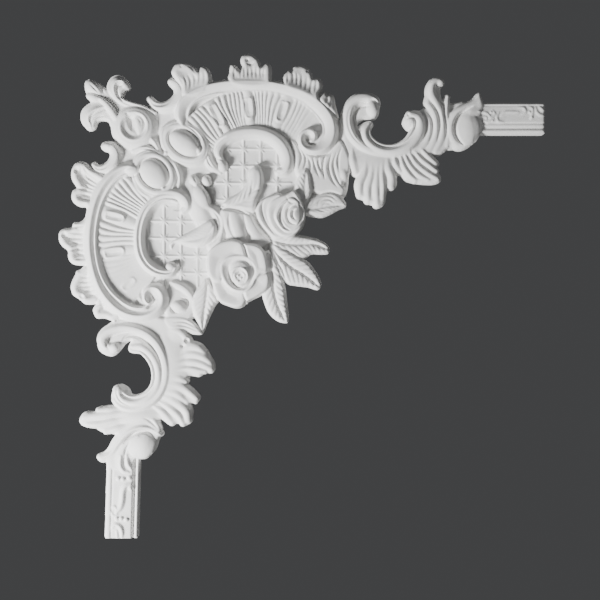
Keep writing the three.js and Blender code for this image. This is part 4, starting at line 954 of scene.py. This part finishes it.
# %% Lower arm
def lower_arm(relief):
    """The same parts in the same order, for the arm that runs down."""
    relief.plate([(112.5, 321), (105, 327.5), (101, 331), (98.5, 336), (97, 342), (97.5, 347),
        (99, 350.5), (103, 354), (108, 356), (112, 356.5), (116, 354.5), (121, 349), (124, 345),
        (130.4, 341), (128, 348), (129.5, 352), (134, 353.5), (142, 354.5), (148, 358), (153, 363),
        (155, 367), (156, 374), (154.5, 384), (151, 390), (146, 394.5), (140, 397.5), (135, 398),
        (131.5, 395.5), (129.5, 391), (127, 387.5), (120, 384.5), (116, 387), (112.5, 391), (111, 396),
        (112.5, 407), (100, 406.5), (96.4, 408), (94.6, 411.5), (86, 411.5), (82, 414), (79, 420),
        (80.5, 424.5), (85, 427), (95, 428), (99, 431), (104, 433), (110, 434), (118, 436), (113, 445),
        (110, 450), (106, 452), (97.5, 454.5), (96.5, 458), (101, 462.6), (108, 462), (122, 458),
        (146, 459), (153, 453), (156, 449), (159, 440), (162, 432.4), (156, 427), (151.6, 421),
        (156, 417.5), (162, 420), (171, 426), (178, 423.8), (186, 426), (191, 420), (193, 411),
        (191, 403.6), (196.5, 404), (199.5, 399), (195, 393), (184.4, 388.5), (187, 381), (190, 376.4),
        (200, 377), (205, 373.4), (213, 373), (215, 366), (211, 357), (206, 350), (200, 343),
        (194.6, 343), (190, 335), (176, 322), (150, 314)], 12.2, edge=4.2, low=0.45)
    relief.mound((177, 333), 12, 10, 60, 14.2, 0.6, 0.7, blend=3)
    relief.band([(172, 330), (180, 332), (186, 338), (186.6, 345)], [13, 15, 15, 13], ROUND,
        widths=[3, 4.4, 4.4, 3], blend=2)
    relief.hollow((187, 340.6), 3.4, 2.8, -30, 13.6, 9.4)
    relief.hollow((182.6, 346), 3.2, 2.2, 20, 13.2, 10)
    fingers(relief,
        [[(182, 352), (190, 346.6), (198, 348), (204, 353), 4.6],
        [(178, 358), (190, 354), (201, 356), (209, 362), 4.6],
        [(176, 364), (190, 361.6), (202, 364), (211, 369), 4.2],
        [(176, 370), (188, 368.6), (198, 370), (205, 371), 3.4],
        [(172, 378), (179, 378), (186, 381), 3.6],
        [(168, 384), (179, 385.6), (188, 391), (196, 398), 4.4],
        [(166, 391), (177, 394), (186, 401), 4.0], [(163, 396), (176, 402), (186, 411), (188, 420), 4.6],
        [(159, 401), (170, 408), (179, 416), (183, 423), 4.0], [(154, 406), (163, 412), (172, 422), 4.4],
        [(120, 408), (110, 409.6), (99, 410.6), 3.6], [(126, 412), (112, 414), (98, 416), (85, 418), 4.6],
        [(126, 418), (112, 421), (98, 424), (88, 424), 4.0], [(128, 424), (118, 428), (106, 431), 3.8]],
        14.2)
    relief.mound((138, 416), 24, 10, 0, 15, 0.6, 0.7, blend=4)
    relief.mound((171, 372), 42, 16, 86, 15.4, 0.62, 0.7, blend=4)
    relief.band([(113.6, 347), (105.6, 346), (103, 339), (107, 332.6), (115, 328.6), (127, 327.4),
        (139, 330), (150, 336), (158, 345), (163.4, 356), (166, 369), (165, 382), (160, 393.4),
        (152, 401.6), (142, 406.6), (131, 408.6), (121, 406), (115, 400)],
        [16, 17.4, 17.6, 17.6, 17.4, 17.4, 17.2, 17, 17, 16.6, 15.6, 14], COVE,
        widths=[4.4, 6.2, 6.4, 6.4, 6.2, 6, 6, 6.2, 6.6, 7, 7, 6.8, 6.4, 6, 5.6, 5, 4.6, 4], blend=2)
    relief.mound((115, 347.4), 5.6, 5.2, -20, 18.4, 0.6, blend=1.5)
    relief.grooves([
        [(110.4, 349.6), (107.8, 346), (108, 341), (113, 336.4), (121, 333.4), (131, 332.6), (142, 336),
            2.8, 1.6],
        [(122.6, 340.6), (125.6, 337), (131, 335.6), (138, 337), (147, 342.6), (155, 352), (160, 363),
            (161.2, 376), (158, 388), (151, 397), 3.6, 3.4]])
    relief.band([(133, 347.4), (142, 348.4), (150, 354.4), (156, 364.4), (158, 376), (155.6, 387.4),
        (148.6, 396), (139, 400.6), (129.6, 401), (121.6, 397), (118.6, 391.6)],
        [14, 16, 17, 17.4, 17.6, 17.6, 17.6, 17.4, 17, 16.4],
        [(-share, rise) for share, rise in reversed(CRESCENT)],
        widths=[4.6, 5.6, 6.2, 6.2, 6.2, 6.2, 6.2, 6.4, 6.6, 6.6, 5.6], blend=2)
    relief.mound((118.6, 391), 6, 6.6, 0, 17, 0.5, blend=2)
    relief.groove([(117.4, 387.6), (118, 395), (122, 401), (129, 404.4), (138, 404.6)], 2.2, 2.2)
    relief.band([(160.6, 434), (151, 427.6), (139, 426.4), (128, 431.6), (119, 441.4), (111.4, 452),
        (101.6, 458.4)], [12, 14.6, 16.4, 16.8, 16, 14.4, 11.4], LEFT_RIM,
        widths=[3, 5, 6.4, 7, 6.6, 5.4, 3.6], blend=3)
    relief.plate([(106, 462), (110, 456), (117, 447), (126, 438), (136, 436), (138, 450), (132, 464),
        (122, 470), (110, 468)], 12.2, edge=9, low=0.84, blend=4)
    relief.band([(138, 436), (128, 444), (121, 454), (119, 466)], [15, 14.6, 13.6, 11.6], ROUND,
        widths=[3, 5.4, 6, 4.4], blend=4)
    relief.mound((142.4, 444.6), 13.4, 14.6, 30, BALL - 1.4, 0.56, 0.75, blend=6)
    relief.groove([(155, 439), (149.6, 433), (141, 431.4), (132, 435), (124.6, 443)], 3.4, 3.0, ends=0.4)
    relief.groove([(130.6, 441.6), (126.4, 449.6), (124.6, 458)], 2.8, 1.8, ends=0.4)
    relief.plate([(141, 409), (150, 413), (158, 420), (162, 430), (158, 434), (150, 428), (142, 420)],
        13.4, edge=3.4)
    relief.groove([(144, 417), (151, 421), (158, 428)], 2.6, 1.4)


# %% [markdown]
# ## Moulding stubs
#
# Each arm ends in a short length of the panel moulding that it joins: a flat face with a faint
# raised pattern, a groove, and a bead on the inner side. It could be a profile swept along a line,
# but here it is a height by the distance across, as all else on the sheet is.

# %% Moulding sections and stubs
RIGHT_STUB = [(-16, 5), (-15, 9), (-13.6, 10.6), (-12.8, 10.8), (-12, 9.9), (-11, 10.6), (4.2, 10.6),
    (5.4, 9.4), (6.6, 10), (8.4, 9.8), (10.2, 8.2), (11.6, 9.4), (13, 9.9), (14.8, 8.4), (16.4, 4)]
LOWER_STUB = [(-15.6, 5), (-14.6, 9.4), (-13, 11), (-10.4, 11.2), (-9.2, 9.7), (-8, 10.6), (9.8, 10.6),
    (11.2, 10.2), (12.2, 7), (13.4, 6.6), (14.6, 8.8), (15.8, 9.3), (17.2, 8), (18.3, 4)]
ROUNDING, END_DROP = 3, 2.4


def stub(relief, runs_right, section, lean, start, end):
    """Height by distance across the moulding, the same all along it. The lean is how far its
    middle line shifts from the start to the end, and the last millimetres round off."""
    if runs_right:
        offset, along = relief.y - SHEET_CORNER[1], relief.x
    else:
        offset, along = relief.x - SHEET_CORNER[0], relief.y
    offset = offset - lean * (along - start) / (end - start)
    to_end = end - along
    within = np.minimum(offset - section[0][0], section[-1][0] - offset)
    corner = np.hypot(np.clip(ROUNDING - within, 0, ROUNDING), np.clip(ROUNDING - to_end, 0, ROUNDING))
    edge = np.minimum(np.minimum(within, to_end), ROUNDING - corner)
    inside = np.where((along > start) & (along < end), edge, FAR_OUTSIDE)
    height = across(offset, section) - END_DROP * np.clip(1 - to_end / ROUNDING, 0, 1) ** 2
    relief.height = np.where(inside > 0, np.maximum(relief.height, height), relief.height)
    relief.inside = np.maximum(relief.inside, inside)


def tendrils(relief, routes, width, rise):
    """Thin raised curls of the moulding's pattern."""
    for route in routes:
        relief.groove(route, width, -rise, ends=0.6)


def stubs(relief):
    """The two lengths of moulding, then the pattern on their faces."""
    stub(relief, True, RIGHT_STUB, 0, 476, 545.5)
    stub(relief, False, LOWER_STUB, -2.2, 456, 538.9)
    tendrils(relief, [[(478, 112), (484, 112.4), (488.6, 115), (490.6, 119), (488, 122.4), (484, 121)],
        [(482, 117), (486, 117.4), (486.6, 120)],
        [(492.6, 110.6), (494.6, 114), (492.6, 117.4), (494.6, 120.8)],
        [(499, 112.6), (496.6, 117), (498.4, 121.6), (503.6, 122.6)],
        [(501, 116), (504.6, 112.6), (511, 112), (518, 112.2)],
        [(518.6, 107.6), (523.4, 108), (525.4, 112), (522, 114.6)],
        [(528.4, 106.4), (532.4, 109), (532, 114), (530.6, 119)],
        [(535.6, 107.6), (536.6, 112), (540, 115), (545, 115.6)],
        [(539, 106.6), (542, 109.6), (545, 110.4)]], 3.4, 1.0)
    beads(relief, [(491, 112.4), (492.4, 121), (529.6, 112.4), (531.6, 117.6)], 1.8, 12.0)
    tendrils(relief,
        [[(130.6, 484), (125.6, 486), (123, 492), (122.4, 500), (120.4, 507.6), (116.4, 512.4)]], 5.6,
        2.6)
    tendrils(relief,
        [[(121.4, 456), (121, 464), (123.4, 470.6), (128.6, 472)], [(127, 455), (128, 463), (131, 469)]],
        4.6, 2.4)
    tendrils(relief, [[(112.4, 527), (115.6, 524.4), (120, 526.6), (122, 532), (122, 538)]], 4.6, 2.4)
    tendrils(relief,
        [[(111.6, 507), (114.6, 506.4), (116.6, 509.6)], [(110.8, 511), (113, 515), (117.6, 514.4)],
        [(117, 531), (117.4, 538)]], 3.0, 1.5)
    beads(relief, [(118.6, 478.4), (123.2, 478.8), (129.6, 477.6), (117, 518.4), (121.4, 518.2),
        (126.6, 519.4), (130.6, 488)], 2.4, 13.0)


# %% [markdown]
# ## Carving order
#
# Low things come first and high things last, so that each stroke meets what lies below it.

# %% Carve
def carve(relief):
    """Cuts every form in turn into one relief."""
    ground(relief)
    trellis(relief, (215, 130, 292, 202), (227, 243.5, 260.5, 277), (149, 166, 183, 200))
    trellis(relief, (141, 196, 216, 290), (147.5, 164, 181, 197.5, 214), (204, 221, 238, 256, 273))
    finial(relief)
    boss(relief)
    edge_clumps(relief)
    folds(relief)
    shells(relief)
    jewels(relief)
    rose_leaves(relief)
    middle(relief)
    small_rose(relief)
    large_rose(relief)
    right_arm(relief)
    lower_arm(relief)
    stubs(relief)
    return relief


# %% The carved relief
relief = carve(Relief())
print("relief grid", relief.height.shape, "highest", round(float(relief.height.max()), 1), "mm")

# %% [markdown]
# ## The worn softness of a casting
#
# Plaster takes every edge of its mould a little rounded, and a hand-made model is never quite even.
# A narrow blur rounds the edges, and a slow waviness of a tenth of a millimetre breaks the light.

# %% Soften and wave
def blurred(surface, sigma):
    """Each value becomes a bell-weighted mean of its neighbours, along the rows and then the columns."""
    reach = int(3 * sigma + 1)
    bell = np.exp(-0.5 * (np.arange(-reach, reach + 1) / sigma) ** 2)
    bell /= bell.sum()
    padded = np.pad(surface, reach, mode="edge")
    rows = sum(weight * padded[:, k:k + surface.shape[1]] for k, weight in enumerate(bell))
    return sum(weight * rows[k:k + surface.shape[0]] for k, weight in enumerate(bell))


SOFTNESS, WAVINESS, WAVE_LENGTH, WAVE_SEED = 0.42, 0.08, 3.0, 7
filled = relief.inside > 0
weight = blurred(filled.astype(float), SOFTNESS / CELL)
soft = blurred(np.where(filled, relief.height, 0), SOFTNESS / CELL) / np.maximum(weight, 1e-3)
waves = np.random.default_rng(WAVE_SEED).normal(size=relief.height.shape)
waves = blurred(waves, WAVE_LENGTH / CELL)
soft = soft + WAVINESS * waves / waves.std()
print("softened by", SOFTNESS, "mm, waves of", WAVINESS, "mm")

# %% [markdown]
# ## From heights to a closed casting
#
# Grid squares on the material become faces. The points on their rim slide onto the exact outline,
# the same squares are laid again on the wall plane as the flat back, and a strip joins the two.

# %% Squares on the material
NEAR_OUTLINE = 0.6


def squares_of(inside, reach):
    """Grid squares with all four corners near the material and none that meet by a corner alone."""
    near = inside > -reach
    squares = near[:-1, :-1] & near[1:, :-1] & near[:-1, 1:] & near[1:, 1:]
    core = inside > 0
    squares &= core[:-1, :-1] | core[1:, :-1] | core[:-1, 1:] | core[1:, 1:]
    for _ in range(8):
        falling = squares[:-1, :-1] & squares[1:, 1:] & ~squares[1:, :-1] & ~squares[:-1, 1:]
        rising = ~squares[:-1, :-1] & ~squares[1:, 1:] & squares[1:, :-1] & squares[:-1, 1:]
        if not (falling | rising).any():
            break
        squares[:-1, :-1] &= ~falling
        squares[1:, :-1] &= ~rising
    return squares


squares = squares_of(relief.inside, NEAR_OUTLINE * CELL)
print("grid squares on the material:", int(squares.sum()))


# %% Points on the outline
LEAST_SLOPE, LONGEST_SLIDE = 0.25, 1.2


def outline_points(relief, squares):
    """Each point on the rim moves down the slope of the inside field to where the field is nought."""
    full = np.pad(squares, 1)
    around = full[:-1, :-1].astype(int) + full[1:, :-1] + full[:-1, 1:] + full[1:, 1:]
    rim = (around > 0) & (around < 4)
    slope_y, slope_x = np.gradient(relief.inside, relief.cell)
    steep = np.maximum(slope_x**2 + slope_y**2, LEAST_SLOPE)
    reach = LONGEST_SLIDE * relief.cell
    shift = np.clip(relief.inside / steep, -reach, reach) * rim
    return relief.x - shift * slope_x, relief.y - shift * slope_y, around > 0


right_mm, down_mm, used = outline_points(relief, squares)
print("points used:", int(used.sum()))


# %% Closed mesh
THINNEST = 1.0


def casting_mesh(name, right_mm, down_mm, height_mm, squares, used):
    """Front at minus the height, back on the wall plane, and a wall round the rim between them."""
    number = np.full(used.shape, -1)
    number[used] = np.arange(used.sum())
    x = (right_mm[used] - SHEET_CORNER[0]) * MM
    z = (SHEET_CORNER[1] - down_mm[used]) * MM
    y = -np.maximum(height_mm[used], THINNEST) * MM
    front = np.column_stack([x, y, z])
    back = np.column_stack([x, np.zeros_like(x), z])
    a, b = number[:-1, :-1][squares], number[:-1, 1:][squares]
    c, d = number[1:, 1:][squares], number[1:, :-1][squares]
    count = len(x)
    faces_front = np.column_stack([a, d, c, b])
    faces_back = np.column_stack([a, b, c, d]) + count
    edges = np.concatenate([faces_front[:, [k, (k + 1) % 4]] for k in range(4)])
    key = edges[:, 0].astype(np.int64) * count + edges[:, 1]
    twin = edges[:, 1].astype(np.int64) * count + edges[:, 0]
    rim = edges[~np.isin(key, twin)]
    walls = np.column_stack([rim[:, 1], rim[:, 0], rim[:, 0] + count, rim[:, 1] + count])
    faces = np.concatenate([faces_front, faces_back, walls])
    mesh = bpy.data.meshes.new(name)
    mesh.vertices.add(2 * count)
    mesh.vertices.foreach_set("co", np.concatenate([front, back]).ravel())
    mesh.loops.add(faces.size)
    mesh.loops.foreach_set("vertex_index", faces.ravel())
    mesh.polygons.add(len(faces))
    mesh.polygons.foreach_set("loop_start", np.arange(0, faces.size, 4))
    mesh.update(calc_edges=True)
    mesh.validate()
    return mesh


casting_shape = casting_mesh("plaster_casting", right_mm, down_mm, soft, squares, used)
casting = bpy.data.objects.new("plaster_casting", casting_shape)
bpy.context.collection.objects.link(casting)
print("faces before thinning:", len(casting.data.polygons))

# %% [markdown]
# ## Thinning
#
# The grid is as fine on the plain back as on the roses. Collapsing edges where the surface is
# nearly flat keeps the carving sharp and brings the casting to a size that a library can carry.

# %% Thin the mesh
TARGET_TRIANGLES, SHARP_ANGLE = 190000, 58
thinning = casting.modifiers.new("thinning", "DECIMATE")
thinning.use_collapse_triangulate = True
thinning.ratio = TARGET_TRIANGLES / (2 * len(casting.data.polygons))
depsgraph = bpy.context.evaluated_depsgraph_get()
thinned = bpy.data.meshes.new_from_object(casting.evaluated_get(depsgraph))
casting.modifiers.clear()
casting.data = thinned
thinned.name = "plaster_casting"
thinned.polygons.foreach_set("use_smooth", np.ones(len(thinned.polygons), bool))
thinned.set_sharp_from_angle(angle=np.radians(SHARP_ANGLE))
print("triangles after thinning:", len(thinned.polygons))

# %% [markdown]
# ## Plaster
#
# Dry gypsum is a warm matt white. Its tone drifts a little in soft clouds, its skin is faintly
# uneven, and small air bubbles leave round pits in it. A picture could be laid on it, but noise in
# the object's own space has no seams: a coarse one for the clouds, a fine one for the skin, and a
# cell pattern for the pits.

# %% Shader maths as expressions
class Value:
    """Wraps a socket, so that sums and products on it add Math nodes."""

    def __init__(self, tree, socket):
        self.tree = tree
        self.socket = socket

    def math(self, operation, *others, clamp=False):
        """One Math node on this value and the others."""
        node = self.tree.nodes.new("ShaderNodeMath")
        node.operation = operation
        node.use_clamp = clamp
        for slot, item in enumerate((self, *others)):
            if isinstance(item, Value):
                self.tree.links.new(item.socket, node.inputs[slot])
            else:
                node.inputs[slot].default_value = item
        return Value(self.tree, node.outputs[0])

    def __add__(self, other):
        return self.math("ADD", other)

    def __mul__(self, other):
        return self.math("MULTIPLY", other)

    def __sub__(self, other):
        return self.math("SUBTRACT", other)

    def __rsub__(self, other):
        return (self * -1) + other

    __radd__ = __add__
    __rmul__ = __mul__


def add_node(tree, kind, settings=None, **values):
    """One node: its settings first, then the values or links of its named sockets."""
    node = tree.nodes.new(kind)
    for name, value in (settings or {}).items():
        setattr(node, name, value)
    for name, value in values.items():
        socket = node.inputs[name.replace("_", " ")]
        if isinstance(value, Value):
            tree.links.new(value.socket, socket)
        elif isinstance(value, bpy.types.NodeSocket):
            tree.links.new(value, socket)
        else:
            socket.default_value = value
    return node


# %% The plaster material
DARKER, LIGHTER = (0.75, 0.746, 0.73, 1), (0.85, 0.847, 0.838, 1)
CLOUD_SCALE, SKIN_SCALE, PIT_SCALE = 22.0, 420.0, 95.0
PIT_SIZE, PIT_STEEPNESS, PIT_SHARE = 0.075, 22.0, 1.2
SMOOTHEST, ROUGHNESS_RANGE = 0.62, 0.2
BUMP_STRENGTH, BUMP_METRES = 0.35, 0.0006


def plaster_material():
    """The colour is a mix by half a coarse and half a fine noise. The bump is half the fine noise,
    less pits that deepen from the rim of a small disc about each cell's centre."""
    material = bpy.data.materials.new("white_plaster")
    material.use_nodes = True
    tree = material.node_tree
    tree.nodes.clear()
    place = add_node(tree, "ShaderNodeTexCoord").outputs["Object"]
    coarse = add_node(tree, "ShaderNodeTexNoise", Vector=place, Scale=CLOUD_SCALE,
        Detail=3.0, Roughness=0.5)
    fine = add_node(tree, "ShaderNodeTexNoise", Vector=place, Scale=SKIN_SCALE,
        Detail=4.0, Roughness=0.6)
    discs = add_node(tree, "ShaderNodeTexVoronoi", Vector=place, Scale=PIT_SCALE)
    clouds = Value(tree, coarse.outputs["Fac"])
    skin = Value(tree, fine.outputs["Fac"])
    cells = Value(tree, discs.outputs["Distance"])
    pits = (PIT_SIZE - cells).math("MULTIPLY", PIT_STEEPNESS, clamp=True)
    shade = (clouds * 0.5 + skin * 0.5).math("MULTIPLY", 1.0, clamp=True)
    colour = add_node(tree, "ShaderNodeMix", {"data_type": "RGBA"})
    tree.links.new(shade.socket, colour.inputs["Factor"])
    colour.inputs[6].default_value = DARKER
    colour.inputs[7].default_value = LIGHTER
    rough = SMOOTHEST + skin * ROUGHNESS_RANGE
    relief_of_skin = skin * 0.5 - pits * PIT_SHARE
    bump = add_node(tree, "ShaderNodeBump", Strength=BUMP_STRENGTH, Distance=BUMP_METRES,
        Height=relief_of_skin)
    shader = add_node(tree, "ShaderNodeBsdfPrincipled", Roughness=rough)
    shader.inputs["Specular IOR Level"].default_value = 0.35
    tree.links.new(colour.outputs[2], shader.inputs["Base Color"])
    tree.links.new(bump.outputs["Normal"], shader.inputs["Normal"])
    output = tree.nodes.new("ShaderNodeOutputMaterial")
    tree.links.new(shader.outputs["BSDF"], output.inputs["Surface"])
    return material


casting.data.materials.clear()
casting.data.materials.append(plaster_material())
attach(casting, "root")
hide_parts("corner_applique")
print("plaster on", casting.name)

# %% [markdown]
# ## The studio
#
# The casting hangs clear of a pale floor. A soft lamp stands low on the left and close, so that
# faces towards it are bright and the far arm is dimmer. A wider weak one fills from the front, and
# a dark grey surround keeps the shadows deep.

# %% Floor
def pale_material(name, colour):
    """One plain matt colour."""
    material = bpy.data.materials.new(name)
    material.use_nodes = True
    shader = material.node_tree.nodes["Principled BSDF"]
    shader.inputs["Base Color"].default_value = (*colour, 1)
    shader.inputs["Roughness"].default_value = 0.9
    return material


FLOOR_DROP, FLOOR_HALF = 0.45, 1.4
FLOOR_COLOUR = (0.72, 0.72, 0.71)
low = model_box[0][2] - FLOOR_DROP
floor_mesh = bpy.data.meshes.new("floor")
middle_x = (model_box[0][0] + model_box[1][0]) / 2
sides = ((-1, -1), (1, -1), (1, 1), (-1, 1))
corners = [(middle_x + sx * FLOOR_HALF, sy * FLOOR_HALF, low) for sx, sy in sides]
floor_mesh.from_pydata(corners, [], [(0, 1, 2, 3)])
floor = bpy.data.objects.new("floor", floor_mesh)
bpy.context.collection.objects.link(floor)
floor.data.materials.append(pale_material("pale_floor", FLOOR_COLOUR))
print("floor at", round(low, 3), "m")


# %% Lamps
def area_lamp(name, place, target, size, power):
    """Square soft lamp whose -Z axis points from its place to the target."""
    lamp = bpy.data.lights.new(name, "AREA")
    lamp.size = size
    lamp.energy = power
    lamp_object = bpy.data.objects.new(name, lamp)
    bpy.context.collection.objects.link(lamp_object)
    lamp_object.location = place
    aim = Vector(target) - Vector(place)
    lamp_object.rotation_euler = aim.to_track_quat("-Z", "Y").to_euler()


KEY_PLACE, KEY_TARGET, KEY_SIZE, KEY_WATTS = (-0.62, -0.57, -0.60), (0.1, 0.0, -0.1), 0.2, 31.0
FILL_PLACE, FILL_TARGET, FILL_SIZE, FILL_WATTS = (0.3, -1.6, 0.3), (0.15, 0.0, -0.15), 1.2, 1.2
SURROUND = (0.06, 0.061, 0.063, 1)
area_lamp("key_lamp", KEY_PLACE, KEY_TARGET, KEY_SIZE, KEY_WATTS)
area_lamp("fill_lamp", FILL_PLACE, FILL_TARGET, FILL_SIZE, FILL_WATTS)
world = bpy.data.worlds.new("studio")
world.use_nodes = True
background = world.node_tree.nodes["Background"]
background.inputs["Color"].default_value = SURROUND
background.inputs["Strength"].default_value = 1.0
bpy.context.scene.world = world

# %% [markdown]
# ## Camera
#
# The photograph is taken square on from a little over a metre, with the middle of its frame over
# one point of the layout sheet. The frame spans 600 mm at the level of the low carving.

# %% Place the camera
FRAME_MIDDLE = (300.0, 300.0)
FRAME_SPAN, FRAME_LEVEL = 0.6, 0.010
VIEW_DISTANCE = 1.15
camera_data = bpy.data.cameras.new("camera")
camera_data.lens = camera_data.sensor_width * VIEW_DISTANCE / FRAME_SPAN
camera = bpy.data.objects.new("camera", camera_data)
bpy.context.collection.objects.link(camera)
camera.location = (
    (FRAME_MIDDLE[0] - SHEET_CORNER[0]) * MM,
    -FRAME_LEVEL - VIEW_DISTANCE,
    (SHEET_CORNER[1] - FRAME_MIDDLE[1]) * MM)
camera.rotation_euler = (np.pi / 2, 0, 0)
bpy.context.scene.camera = camera
print("camera", tuple(round(v, 3) for v in camera.location), "lens", round(camera_data.lens, 1))
